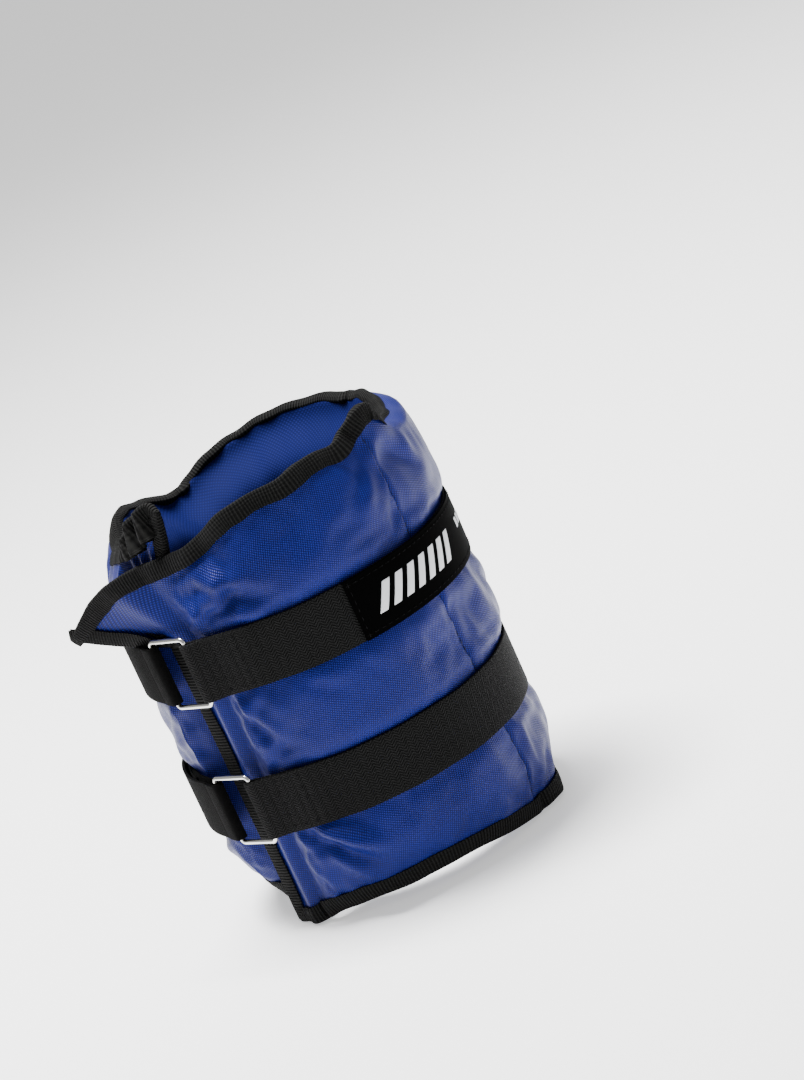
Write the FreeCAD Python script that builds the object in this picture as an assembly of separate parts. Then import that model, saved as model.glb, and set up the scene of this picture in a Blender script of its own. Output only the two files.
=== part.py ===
"""Ankle cuff weight: a wrap of sand pockets closed by two webbing straps, wire rings and hook-and-loop tails.

Millimetres, +Z up along the leg. The origin is the middle of the leg opening. The closure faces -Y, and angles
are measured from -Y towards +X, so the wrap starts at its ring end near 0 degrees and runs round past +X.
"""
import FreeCAD, Part
import math
import os

V = FreeCAD.Vector

# Driving dimensions
HALF_HEIGHT = 87.0        # leg axis, from the middle to the outside of either edge binding
R_LEG = 43.0              # straight part of the leg opening
LEG_STRAIGHT = 45.0       # half length of that straight part
R_CLOTH = 67.5            # outer cloth where a strap pulls it in
R_EDGE_IN = 56.5          # wall at its sewn edges, inside and outside
R_EDGE_OUT = 62.0
EDGE_Z = 86.2             # cut edge of the wall, inside the binding
EDGE_FLAT = 78.0          # the wall is thin and straight past this height
CLOTH = 0.8
FOAM = 3.5
GAP = 0.1                 # between layers that are sewn together
CLEAR = 0.3               # between pieces that move apart
BIND_T = 0.6
BIND_W = 8.0
BULGE = 1.8               # how far the cloth stands out between the straps
EDGE_BULGE = 0.6          # and between a strap and the nearer edge
STRAP_BAND = 1.5          # the cloth is held in this far past each side of a strap
WALL_SHORT = 12.0         # the end walls of the pockets stop this far short of the strips' ends
POUCH_INSET = 6.0         # the pouches end this far inside the flat edges
POUCH_T = 0.6
HAIR = 0.05               # between touching pieces of one body

# Angles round the wrap, degrees
POCKET_START = 9.0
POCKET_END = 345.0
SEAMS = (99.0, 181.0, 263.0)
RING_END = -7.0
TAIL_END = 365.0

# Sewn end strips: radius of the inner face of each cloth stack
RING_STRIP_R = 61.6
TAIL_STRIP_R = 58.2

# Straps, rings and tails
STRAP_Z = {"upper": 30.0, "lower": -31.0}
STRAP_W = 25.0
STRAP_T = 1.3
R_STRAP = R_CLOTH + CLEAR
R_OVERLAY = R_STRAP + STRAP_T + HAIR
RING_Y = -70.4            # plane of the ring's wire
RING_HALF = 10.0          # wire centre to ring centre, across the closure
RING_LEN_HALF = 14.4      # wire centre to ring centre, along the leg
RING_CORNER = 1.8
WIRE_R = 1.0
LOOP_R = WIRE_R + 0.2     # inside of the webbing round a wire
LOOP_START = 7.5          # degrees from the closure where a loop meets its two strands
TAIL_SPLIT = 13.5         # degrees, where the fold ends and the run and the flap begin
TAIL_SEWN = -84.7         # degrees, where the tail is sewn to the strap
FLAP_END = -78.0
FLAP_SETTLE = 16.0        # degrees, where the outer strand has come down off the wire
LABEL = (64.0, 150.0)
LABEL_T = 0.5
STITCH_BOX = (17.0, 24.8)
STITCH_T = 0.3
STITCH_W = 0.6
STITCH_INSET = 2.5
SEAM_HALF = 0.3           # half width of a seam's thread, degrees
PATCH_INSET = 1.0         # the hook and loop patches are narrower than their tape by this on each side
LOOP_PATCH = (TAIL_SEWN + 5.0, -26.0)
LOOP_PATCH_T = 0.85
HOOK_PATCH = (FLAP_END + 2.0, -46.0)
HOOK_PATCH_T = 0.75
STRAP_ROUND = 60.0        # degrees past which the strap is a plain sector
BAND_STEP = 1.5           # degrees between the points of a strand's curve
UNDERLAP_END = 26.0       # the folded-back end of the strap lies under it up to here
R_FLAP = 71.2             # inside of the flap, over the loop pile and the hook tape


def polar(radius, angle, z=0.0):
    """Point at a radius and an angle in degrees round the wrap."""
    a = math.radians(angle)
    return V(radius * math.sin(a), -radius * math.cos(a), z)


def smooth(value, start, end):
    """Smoothstep from 0 at start to 1 at end."""
    t = min(1.0, max(0.0, (value - start) / (end - start)))
    return t * t * (3.0 - 2.0 * t)


def save(shape, name):
    """Write one node's STEP file."""
    if not shape.isValid():
        raise ValueError(name + " is not a valid shape")
    shape.exportStep("parts/" + name + ".step")


def line(a, b):
    """Straight edge between two points of the wall's section."""
    return Part.makeLine(V(a[0], 0, a[1]), V(b[0], 0, b[1]))


def arc(a, b, c):
    """Round edge through three points of the wall's section."""
    return Part.Arc(V(a[0], 0, a[1]), V(b[0], 0, b[1]), V(c[0], 0, c[1])).toShape()


def inner_line(shift):
    """Section of the leg side of the wall, bottom to top, moved out by shift."""
    r0 = R_LEG + shift
    rise = EDGE_FLAT - LEG_STRAIGHT
    step = R_EDGE_IN - R_LEG
    big = (rise * rise + step * step) / (2.0 * step)
    half = 0.5 * math.asin(rise / big)
    mid = (r0 + big * (1.0 - math.cos(half)), LEG_STRAIGHT + big * math.sin(half))
    end = (R_EDGE_IN + shift, EDGE_FLAT)
    low = [line((end[0], -EDGE_Z), (end[0], -EDGE_FLAT)),
           arc((end[0], -EDGE_FLAT), (mid[0], -mid[1]), (r0, -LEG_STRAIGHT))]
    high = [arc((r0, LEG_STRAIGHT), mid, end), line(end, (end[0], EDGE_Z))]
    return low + [line((r0, -LEG_STRAIGHT), (r0, LEG_STRAIGHT))] + high


def outer_line(shift):
    """Section of the outer side: pulled in under both straps, full between them, moved out by shift."""
    r = R_CLOTH + shift
    edge = R_EDGE_OUT + shift
    half = STRAP_W / 2.0 + STRAP_BAND
    low, high = STRAP_Z["lower"], STRAP_Z["upper"]
    middle = (low + high) / 2.0
    edges = [line((edge, -EDGE_Z), (edge, -EDGE_FLAT))]
    edges.append(arc((edge, -EDGE_FLAT), (r + EDGE_BULGE, (low - half - EDGE_FLAT) / 2.0), (r, low - half)))
    edges.append(line((r, low - half), (r, low + half)))
    edges.append(arc((r, low + half), (r + BULGE, middle), (r, high - half)))
    edges.append(line((r, high - half), (r, high + half)))
    edges.append(arc((r, high + half), (r + EDGE_BULGE, (high + half + EDGE_FLAT) / 2.0), (edge, EDGE_FLAT)))
    edges.append(line((edge, EDGE_FLAT), (edge, EDGE_Z)))
    return edges


def spin(face, start, end):
    """Revolve a section drawn in the XZ plane from one angle to another."""
    solid = face.revolve(V(0, 0, 0), V(0, 0, 1), end - start)
    solid.rotate(V(0, 0, 0), V(0, 0, 1), start - 90.0)
    return solid


def layer(inside, outside, start, end):
    """Sector of the wall between two section lines given as lists of edges."""
    a = Part.Wire(inside)
    b = Part.Wire(outside)
    ends = [Part.makeLine(a.OrderedVertexes[i].Point, b.OrderedVertexes[i].Point) for i in (0, -1)]
    return spin(Part.Face(Part.Wire(Part.sortEdges(inside + outside + ends)[0])), start, end)


def block(r0, r1, z0, z1, start, end):
    """Plain sector of a tube."""
    corners = [V(r0, 0, z0), V(r1, 0, z0), V(r1, 0, z1), V(r0, 0, z1), V(r0, 0, z0)]
    return spin(Part.Face(Part.makePolygon(corners)), start, end)


def join(shapes):
    """Fuse touching pieces into one solid."""
    return shapes[0].multiFuse(shapes[1:]).removeSplitter().Solids[0]


# --- the wrap ---

def outer_panel():
    """Outer cloth with its end walls and the flat strips at both ends."""
    ring_face = RING_STRIP_R + CLOTH + GAP
    tail_face = TAIL_STRIP_R + CLOTH + GAP
    shell = layer(outer_line(-CLOTH), outer_line(0.0), POCKET_START, POCKET_END)
    top = R_CLOTH - GAP
    half = EDGE_FLAT - WALL_SHORT
    ring_strip = block(ring_face, ring_face + CLOTH, -EDGE_FLAT, EDGE_FLAT, RING_END, POCKET_START + 1.0)
    ring_wall = block(ring_face, top, -half, half, POCKET_START, POCKET_START + 1.0)
    tail_strip = block(tail_face, tail_face + CLOTH, -EDGE_FLAT, EDGE_FLAT, POCKET_END - 1.0, TAIL_END)
    tail_wall = block(tail_face, top, -half, half, POCKET_END - 1.0, POCKET_END)
    return join([shell, ring_strip, ring_wall, tail_strip, tail_wall])


def lining():
    """Leg-side cloth with its end walls and the strips behind the outer panel's."""
    shell = layer(inner_line(0.0), inner_line(CLOTH), POCKET_START, POCKET_END)
    walls = []
    strips = []
    for radius, edge, end in ((RING_STRIP_R, POCKET_START, RING_END), (TAIL_STRIP_R, POCKET_END, TAIL_END)):
        inward = 1.0 if edge == POCKET_START else -1.0
        wall = sorted((edge, edge + inward))
        strip = sorted((edge, end))
        walls.append(block(R_LEG + CLOTH / 2.0, radius + CLOTH, -LEG_STRAIGHT, LEG_STRAIGHT, *wall))
        strips.append(block(radius, radius + CLOTH, -EDGE_FLAT, EDGE_FLAT, *strip))
    return join([shell] + walls + strips)


def foam_pad():
    """Soft sheet between the lining and the sand pouches."""
    start, end = POCKET_START + 1.2, POCKET_END - 1.2
    return layer(inner_line(CLOTH + GAP), inner_line(CLOTH + GAP + FOAM), start, end)


def pocket_fill(start, end, inset):
    """Space of one pocket between the foam and the outer cloth, shrunk by inset all round."""
    inner = CLOTH + GAP + FOAM + GAP + inset
    turn = math.degrees(inset / R_LEG)
    half = EDGE_FLAT - POUCH_INSET - inset
    space = layer(inner_line(inner), outer_line(-CLOTH - GAP - inset), start + turn, end - turn)
    return space.common(block(R_LEG, R_CLOTH + 4.0, -half, half, start - 1.0, end + 1.0)).Solids[0]


def pockets():
    """Angles at which each sand pocket starts and ends, clear of the seams."""
    edges = (POCKET_START + 1.4,) + SEAMS + (POCKET_END - 1.4,)
    return [(edges[i] + 0.5, edges[i + 1] - 0.5) for i in range(len(edges) - 1)]


def edge_binding(side):
    """Folded tape over the top (+1) or bottom (-1) edge, stepped where the end strips overlap."""
    web = sorted((side * (EDGE_Z + GAP), side * HALF_HEIGHT))
    legs = sorted((side * (HALF_HEIGHT - BIND_W), side * (EDGE_Z + GAP)))
    pieces = []
    strip_out = 2.0 * CLOTH + GAP
    spans = ((R_EDGE_IN, R_EDGE_OUT, POCKET_START - 1.2, POCKET_END + 1.2),
             (RING_STRIP_R, RING_STRIP_R + strip_out, RING_END - 0.8, POCKET_START - 0.6),
             (TAIL_STRIP_R, TAIL_STRIP_R + strip_out, POCKET_END + 0.6, TAIL_END + 0.8))
    for r0, r1, start, end in spans:
        inside, outside = r0 - GAP - BIND_T, r1 + GAP + BIND_T
        pieces.append(block(inside, outside, web[0], web[1], start, end))
        pieces.append(block(inside, r0 - GAP, legs[0], legs[1], start, end))
        pieces.append(block(r1 + GAP, outside, legs[0], legs[1], start, end))
    return join(pieces)


def end_binding(radius, edge, inward):
    """Folded tape over the upright cut edge of an end strip."""
    half = HALF_HEIGHT - BIND_W - 0.4
    r0, r1 = radius - GAP, radius + 2.0 * CLOTH + 2.0 * GAP
    width = math.degrees(BIND_W / R_EDGE_OUT)
    legs = sorted((edge - inward * 0.1, edge + inward * width))
    web = sorted((edge - inward * 0.8, edge - inward * 0.1))
    pieces = [block(r0 - BIND_T, r1 + BIND_T, -half, half, *web)]
    pieces.append(block(r0 - BIND_T, r0, -half, half, *legs))
    pieces.append(block(r1, r1 + BIND_T, -half, half, *legs))
    return join(pieces)


def seam_stitching():
    """Lines of thread that close the pockets, lying in the valleys of the outer cloth."""
    bottom, top = outer_line(0.05)[1:-1], outer_line(0.2)[1:-1]
    return Part.makeCompound([layer(bottom, top, a - SEAM_HALF, a + SEAM_HALF) for a in SEAMS])


# --- straps, rings and tails ---

def band(radius_at, thick, start, end, z0, z1):
    """Webbing that stands on edge along a curve: radius_at gives its inner radius at each angle."""
    count = max(4, int(abs(end - start) / BAND_STEP))
    angles = [start + (end - start) * i / count for i in range(count + 1)]
    sides = []
    for extra in (0.0, thick):
        curve = Part.BSplineCurve()
        curve.interpolate([polar(radius_at(a) + extra, a, z0) for a in angles])
        sides.append(curve.toShape())
    caps = [Part.makeLine(polar(radius_at(a), a, z0), polar(radius_at(a) + thick, a, z0)) for a in (start, end)]
    face = Part.Face(Part.Wire(Part.sortEdges(sides + caps)[0]))
    return face.extrude(V(0, 0, z1 - z0))


def loop(side, z0, z1):
    """Half turn of webbing round a wire of the ring; side is +1 for the strap's wire, -1 for the tail's."""
    centre = V(side * RING_HALF, RING_Y, z0)
    tube = Part.makeCylinder(LOOP_R + STRAP_T, z1 - z0, centre)
    tube = tube.cut(Part.makeCylinder(LOOP_R, z1 - z0, centre))
    keep = Part.makeBox(6.0, 10.0, z1 - z0, V(min(0.0, -side * 6.0), -5.0, 0.0))
    keep.translate(centre)
    return tube.common(keep).Solids[0]


def strand(side, outer_rest):
    """Inner radius of the outer strand: off the wire, then down to outer_rest."""
    top = math.hypot(RING_HALF, RING_Y - LOOP_R)

    def radius(angle):
        return top + (outer_rest - top) * smooth(side * angle, LOOP_START, FLAP_SETTLE)
    return radius


def under(side):
    """Inner radius of the strand that passes under the ring's wire."""
    top = math.hypot(RING_HALF, RING_Y + LOOP_R + STRAP_T)

    def radius(angle):
        return top + (R_STRAP - top) * smooth(side * angle, LOOP_START, TAIL_SPLIT)
    return radius


def strap(z):
    """Webbing strap: looped round the ring's wire, folded back under itself, then right round the wrap."""
    z0, z1 = z - STRAP_W / 2.0, z + STRAP_W / 2.0
    off_wire = strand(1.0, R_OVERLAY)

    def outer(angle):
        return off_wire(angle) + (R_STRAP - R_OVERLAY) * smooth(angle, UNDERLAP_END + 1.0, UNDERLAP_END + 9.0)
    pieces = [loop(1.0, z0, z1), band(outer, STRAP_T, LOOP_START, STRAP_ROUND, z0, z1)]
    pieces.append(band(under(1.0), STRAP_T, LOOP_START, UNDERLAP_END, z0, z1))
    pieces.append(block(R_STRAP, R_STRAP + STRAP_T, z0, z1, STRAP_ROUND, 360.0 + TAIL_SEWN - 0.1))
    return join(pieces)


def tail_fold(z):
    """Short stretch of the tail that turns round the ring's free wire."""
    z0, z1 = z - STRAP_W / 2.0, z + STRAP_W / 2.0
    pieces = [loop(-1.0, z0, z1)]
    pieces.append(band(strand(-1.0, R_FLAP), STRAP_T, -LOOP_START, -TAIL_SPLIT, z0, z1))
    pieces.append(band(under(-1.0), STRAP_T, -LOOP_START, -TAIL_SPLIT, z0, z1))
    return join(pieces)


def tail_base(z):
    """Stretch of the tail that lies on the wrap, from its seam on the strap to the ring."""
    half = STRAP_W / 2.0
    return block(R_STRAP, R_STRAP + STRAP_T, z - half, z + half, TAIL_SEWN, -TAIL_SPLIT - 0.3)


def tail_flap(z):
    """Free end of the tail, folded back over itself."""
    half = STRAP_W / 2.0
    return band(strand(-1.0, R_FLAP), STRAP_T, -TAIL_SPLIT - 0.3, FLAP_END, z - half, z + half)


def loop_patch(z):
    """Loop pile sewn on the outside of the tail's base."""
    half = STRAP_W / 2.0 - PATCH_INSET
    return block(R_OVERLAY, R_OVERLAY + LOOP_PATCH_T, z - half, z + half, *LOOP_PATCH)


def hook_patch(z):
    """Hook tape on the inside of the flap's end."""
    half = STRAP_W / 2.0 - PATCH_INSET
    outside = R_FLAP - HAIR
    return block(outside - HOOK_PATCH_T, outside, z - half, z + half, *HOOK_PATCH)


def ring(z):
    """Rectangular ring of round wire with rounded corners, lying in the plane y = RING_Y."""
    a, b, c = RING_HALF, RING_LEN_HALF, RING_CORNER
    pieces = []
    for sx, sz in ((1, 1), (-1, 1), (-1, -1), (1, -1)):
        bend = V(sx * (a - c), RING_Y, z + sz * (b - c))
        section = Part.Face(Part.Wire(Part.makeCircle(WIRE_R, bend + V(sx * c, 0, 0), V(0, 0, 1))))
        pieces.append(section.revolve(bend, V(0, -sx * sz, 0), 90.0))
    for s in (1, -1):
        pieces.append(Part.makeCylinder(WIRE_R, 2.0 * (b - c), V(s * a, RING_Y, z - b + c)))
        pieces.append(Part.makeCylinder(WIRE_R, 2.0 * (a - c), V(c - a, RING_Y, z + s * b), V(1, 0, 0)))
    return join(pieces)


def box_stitch(z):
    """Rectangle of thread that sews the strap to its folded-back end."""
    first, last = STITCH_BOX
    r0 = R_OVERLAY + STRAP_T + HAIR
    r1 = r0 + STITCH_T
    turn = math.degrees(STITCH_W / r0)
    half = STRAP_W / 2.0 - STITCH_INSET
    bars = [block(r0, r1, z - half, z + half, a, a + turn) for a in (first, last)]
    bars += [block(r0, r1, h, h + STITCH_W, first, last + turn) for h in (z - half, z + half - STITCH_W)]
    return join(bars)


def label():
    """Woven satin label sewn over the upper strap."""
    half = STRAP_W / 2.0
    z = STRAP_Z["upper"]
    return block(R_OVERLAY, R_OVERLAY + LABEL_T, z - half, z + half, *LABEL)


def main():
    """Write every node."""
    os.makedirs("parts", exist_ok=True)
    save(outer_panel(), "outer_panel")
    save(lining(), "lining")
    save(foam_pad(), "foam_pad")
    for number, (start, end) in enumerate(pockets(), 1):
        bag = pocket_fill(start, end, 0.0)
        sand = pocket_fill(start, end, POUCH_T)
        save(bag.cut(sand).Solids[0], "sand_pouch_%d" % number)
        save(pocket_fill(start, end, POUCH_T + HAIR), "sand_fill_%d" % number)
    save(edge_binding(1), "top_binding")
    save(edge_binding(-1), "bottom_binding")
    save(end_binding(RING_STRIP_R, RING_END, 1.0), "ring_end_binding")
    save(end_binding(TAIL_STRIP_R, TAIL_END, -1.0), "tail_end_binding")
    save(seam_stitching(), "seam_stitching")
    for place, z in STRAP_Z.items():
        save(strap(z), place + "_strap")
        save(ring(z), place + "_ring_wire")
        save(tail_base(z), place + "_tail_base")
        save(tail_fold(z), place + "_tail_fold")
        save(tail_flap(z), place + "_tail_flap")
        save(loop_patch(z), place + "_loop_patch")
        save(hook_patch(z), place + "_hook_patch")
    save(Part.makeCompound([box_stitch(z) for z in STRAP_Z.values()]), "strap_stitching")
    save(label(), "label")


main()
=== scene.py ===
"""Ankle cuff weight: a wrap of satin sand pockets, bound in ribbed tape and closed by two webbing straps.

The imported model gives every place. Angles run round the leg from the closure at -Y towards +X, in degrees,
and lengths in the classes are millimetres, turned into metres where a mesh is written.
"""

import logging
import math
import random
from dataclasses import dataclass, replace
from enum import Enum
from typing import Callable, Iterable, Optional, Sequence

import bpy
import numpy as np
from mathutils import Matrix, Vector


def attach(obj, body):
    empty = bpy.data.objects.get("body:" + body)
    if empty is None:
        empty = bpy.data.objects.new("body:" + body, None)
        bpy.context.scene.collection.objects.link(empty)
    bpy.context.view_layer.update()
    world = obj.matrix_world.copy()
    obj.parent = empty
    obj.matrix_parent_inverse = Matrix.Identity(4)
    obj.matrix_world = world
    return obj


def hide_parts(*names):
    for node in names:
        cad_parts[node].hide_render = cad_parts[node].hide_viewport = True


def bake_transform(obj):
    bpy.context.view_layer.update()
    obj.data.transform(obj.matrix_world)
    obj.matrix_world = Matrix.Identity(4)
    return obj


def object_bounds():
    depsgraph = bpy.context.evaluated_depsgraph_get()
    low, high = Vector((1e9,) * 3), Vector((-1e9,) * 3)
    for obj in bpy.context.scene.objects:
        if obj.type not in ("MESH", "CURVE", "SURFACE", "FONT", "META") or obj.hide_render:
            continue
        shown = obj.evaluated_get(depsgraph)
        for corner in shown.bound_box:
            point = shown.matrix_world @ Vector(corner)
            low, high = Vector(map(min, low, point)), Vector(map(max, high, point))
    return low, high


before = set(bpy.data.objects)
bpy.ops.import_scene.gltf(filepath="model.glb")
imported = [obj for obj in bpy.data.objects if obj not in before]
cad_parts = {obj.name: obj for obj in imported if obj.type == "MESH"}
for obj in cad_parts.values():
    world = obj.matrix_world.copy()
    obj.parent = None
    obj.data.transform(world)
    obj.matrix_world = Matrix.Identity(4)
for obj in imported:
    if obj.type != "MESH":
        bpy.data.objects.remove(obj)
CAD_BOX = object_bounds()
LOG = logging.getLogger("cuff")
MM = 0.001
Array = np.ndarray


# ---------------------------------------------------------------- small tools

def smooth(value: Array, start: float, end: float) -> Array:
    """Smoothstep of a number or an array.

    Args:
        value: what is tested.
        start: where the step is still 0.
        end: where it has reached 1.

    Returns:
        The step, of the same shape as value.
    """
    t = np.clip((value - start) / (end - start), 0.0, 1.0)
    return t * t * (3.0 - 2.0 * t)


def polar(radius: Array, angle: Array, height: Array) -> Array:
    """Points from radius, angle in degrees and height.

    Args:
        radius: distance from the leg's axis.
        angle: angle from the closure, towards +X.
        height: height along the leg.

    Returns:
        An array with x, y and z on its last axis.
    """
    a = np.radians(angle)
    return np.stack(np.broadcast_arrays(radius * np.sin(a), -radius * np.cos(a), height), -1)


def through(points: Sequence[tuple[float, float]], at: Array) -> Array:
    """Smooth curve through given points.

    Args:
        points: pairs of place and value, in rising order of place.
        at: places at which the curve is read.

    Returns:
        The curve's values.
    """
    xs, ys = np.array(points, float).T
    slope = np.gradient(ys, xs)
    i = np.clip(np.searchsorted(xs, at) - 1, 0, len(xs) - 2)
    width = xs[i + 1] - xs[i]
    t = np.clip((at - xs[i]) / width, 0.0, 1.0)
    rise = ys[i + 1] - ys[i]
    a, b = slope[i] * width - rise, rise - slope[i + 1] * width
    return ys[i] + t * rise + t * (1 - t) * ((1 - t) * a + t * b)


def space_curve(start: Array, rest: Sequence[tuple[float, float, float]], at: Array) -> Array:
    """Smooth curve in space from a place through given points.

    Args:
        start: x, y and z of its first point.
        rest: angle, radius and height of the others.
        at: shares of its length, from 0 to 1.

    Returns:
        Places of shape (len(at), 3).
    """
    knots = np.array([start] + [polar(r, a, z) for a, r, z in rest])
    length = along(knots[:, None], 0)[:, 0]
    return np.stack([through(list(zip(length / length[-1], knots[:, k])), at) for k in range(3)], -1)


@dataclass(frozen=True)
class Waviness:
    """Slow uneven waves along a length, the same on every run."""

    seed: int
    size: float
    longest: float
    shortest: float
    count: int = 5

    def at(self, place: Array) -> Array:
        """Height of the waves at each place, in the unit of size."""
        rng = random.Random(self.seed)
        total = np.zeros_like(np.asarray(place, float))
        for _ in range(self.count):
            length = rng.uniform(self.shortest, self.longest)
            phase = rng.uniform(0.0, 2.0 * math.pi)
            total = total + math.sqrt(length / self.longest) * np.sin(2.0 * math.pi * place / length + phase)
        return self.size * total / math.sqrt(self.count)


def unit(vectors: Array) -> Array:
    """Vectors of the same directions and of length 1."""
    return vectors / np.maximum(np.linalg.norm(vectors, axis=-1, keepdims=True), 1e-9)


def deselect() -> None:
    """Clear the selection, which every operator acts on."""
    for obj in bpy.context.selected_objects:
        obj.select_set(False)


def activate(obj: bpy.types.Object) -> None:
    """Make one object the only selected one."""
    deselect()
    obj.select_set(True)
    bpy.context.view_layer.objects.active = obj


def apply_modifier(obj: bpy.types.Object, kind: str, **settings: object) -> None:
    """Add a modifier with its settings and apply it.

    Args:
        obj: the piece.
        kind: Blender's name of the modifier's kind.
        settings: the modifier's properties.
    """
    activate(obj)
    mod = obj.modifiers.new(kind.title(), kind)
    for key, value in settings.items():
        setattr(mod, key, value)
    bpy.ops.object.modifier_apply(modifier=mod.name)


def set_points(obj: bpy.types.Object, points: Array) -> None:
    """Write a mesh's vertex places, given in metres."""
    obj.data.vertices.foreach_set("co", np.ascontiguousarray(points, np.float32).ravel())
    obj.data.update()


def get_points(obj: bpy.types.Object) -> Array:
    """Read a mesh's vertex places, in metres."""
    flat = np.empty(len(obj.data.vertices) * 3, np.float32)
    obj.data.vertices.foreach_get("co", flat)
    return flat.reshape(-1, 3).astype(float)


def sheet(name: str, points: Array, lengths: Array) -> bpy.types.Object:
    """Flat grid laid onto a curved surface, with UVs in metres of cloth.

    Args:
        name: the piece's name.
        points: places in millimetres, shape (columns, rows, 3), with normals on the side of rows x columns.
        lengths: how far along and across the cloth each place is, in millimetres, shape (columns, rows, 2).

    Returns:
        The mesh object.
    """
    columns, rows = points.shape[:2]
    deselect()
    bpy.ops.mesh.primitive_grid_add(x_subdivisions=columns - 1, y_subdivisions=rows - 1, size=2.0)
    obj = bpy.context.active_object
    obj.name = obj.data.name = name
    flat = get_points(obj)
    i = np.rint((flat[:, 0] + 1.0) / 2.0 * (columns - 1)).astype(int)
    j = np.rint((flat[:, 1] + 1.0) / 2.0 * (rows - 1)).astype(int)
    set_points(obj, points[i, j] * MM)
    corners = np.empty(len(obj.data.loops), np.int32)
    obj.data.loops.foreach_get("vertex_index", corners)
    uv = obj.data.uv_layers.active or obj.data.uv_layers.new(name="UVMap")
    uv.data.foreach_set("uv", (lengths[i, j] * MM)[corners].astype(np.float32).ravel())
    obj["order"] = (i * rows + j).tolist()
    return obj


def along(points: Array, axis: int) -> Array:
    """Running length along one axis of a grid of places."""
    steps = np.linalg.norm(np.diff(points, axis=axis), axis=-1)
    first = np.zeros_like(np.take(steps, [0], axis=axis))
    return np.concatenate([first, np.cumsum(steps, axis=axis)], axis=axis)


def lay_lengths(points: Array) -> Array:
    """UV lengths of a grid, measured along its middle row and its middle column."""
    across = along(points, 1)
    middle = along(points, 0)[:, points.shape[1] // 2]
    return np.stack([np.broadcast_to(middle[:, None], across.shape), across], -1)


def finish_piece(obj: bpy.types.Object, material: bpy.types.Material,
                 angle: float = 40.0) -> bpy.types.Object:
    """Give a piece its material and smooth shading, sharp past an angle.

    Args:
        obj: the piece.
        material: its only material.
        angle: degrees between faces past which an edge stays sharp.

    Returns:
        The same piece.
    """
    obj.data.materials.clear()
    obj.data.materials.append(material)
    if "order" in obj:
        del obj["order"]
    activate(obj)
    bpy.ops.object.shade_smooth_by_angle(angle=math.radians(angle))
    obj.select_set(False)
    return obj


def place(obj: bpy.types.Object, body: str, slot: str, node: str = "") -> None:
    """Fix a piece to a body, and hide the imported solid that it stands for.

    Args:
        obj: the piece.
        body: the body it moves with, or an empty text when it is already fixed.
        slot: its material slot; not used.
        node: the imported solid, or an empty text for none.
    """
    if body:
        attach(obj, body)
    if node:
        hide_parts(node)


def sweep(name: str, path: Array, side: Array, face: Array, section: Array) -> bpy.types.Object:
    """Closed section carried along a path.

    Args:
        name: the piece's name.
        path: places in millimetres, shape (stations, 3).
        side: direction of the section's first coordinate at each station.
        face: direction of its second coordinate.
        section: closed outline in millimetres, shape (corners, 2), or (stations, corners, 2).

    Returns:
        The mesh object, with UVs in metres: along the path, and round the section.
    """
    section = np.broadcast_to(section, (len(path),) + section.shape[-2:])
    ring = np.concatenate([section, section[:, :1]], axis=1)
    points = path[:, None] + ring[..., :1] * side[:, None] + ring[..., 1:] * face[:, None]
    length = along(path[:, None], 0)
    around = along(np.pad(ring[:1], ((0, 0), (0, 0), (0, 1))), 1)
    uv = np.stack(np.broadcast_arrays(length, around), -1)
    obj = sheet(name, points, uv)
    activate(obj)
    bpy.ops.object.mode_set(mode="EDIT")
    bpy.ops.mesh.select_all(action="SELECT")
    bpy.ops.mesh.remove_doubles(threshold=0.02 * MM)
    bpy.ops.mesh.select_all(action="DESELECT")
    bpy.ops.mesh.select_non_manifold()
    bpy.ops.mesh.edge_face_add()
    bpy.ops.mesh.select_all(action="SELECT")
    bpy.ops.mesh.normals_make_consistent(inside=False)
    bpy.ops.object.mode_set(mode="OBJECT")
    return obj


# ---------------------------------------------------------------- finishes

def linear(code: str) -> tuple[float, float, float, float]:
    """Linear colour of an sRGB hex code such as '#20308a'."""
    parts = [int(code[i:i + 2], 16) / 255.0 for i in (1, 3, 5)]
    return tuple(p / 12.92 if p <= 0.04045 else ((p + 0.055) / 1.055) ** 2.4 for p in parts) + (1.0,)


def add_node(tree: bpy.types.NodeTree, kind: str, inputs: Optional[dict] = None,
             **settings: object) -> bpy.types.Node:
    """Add one shader node.

    Args:
        tree: the material's node tree.
        kind: node type without its ShaderNode prefix.
        inputs: values for sockets, by name or number; an output socket given here is linked.
        settings: the node's own properties.

    Returns:
        The node.
    """
    node = tree.nodes.new("ShaderNode" + kind)
    for key, value in settings.items():
        setattr(node, key, value)
    for key, value in (inputs or {}).items():
        if isinstance(value, bpy.types.NodeSocket):
            tree.links.new(value, node.inputs[key])
        else:
            node.inputs[key].default_value = value
    return node


def new_material(name: str) -> tuple[bpy.types.Material, bpy.types.NodeTree]:
    """Empty node material and its tree."""
    mat = bpy.data.materials.new(name)
    mat.use_nodes = True
    mat.node_tree.nodes.clear()
    return mat, mat.node_tree


def close_material(tree: bpy.types.NodeTree, surface: bpy.types.Node) -> None:
    """Link a shader to the material's output."""
    add_node(tree, "OutputMaterial", {"Surface": surface.outputs[0]})


class Weave(Enum):
    """Ways in which the threads of a tape or cloth show."""

    SATIN_TWILL = "satin twill"
    GROSGRAIN = "grosgrain"
    HERRINGBONE = "herringbone"
    WEBBING = "webbing"
    SATIN = "satin"


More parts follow.
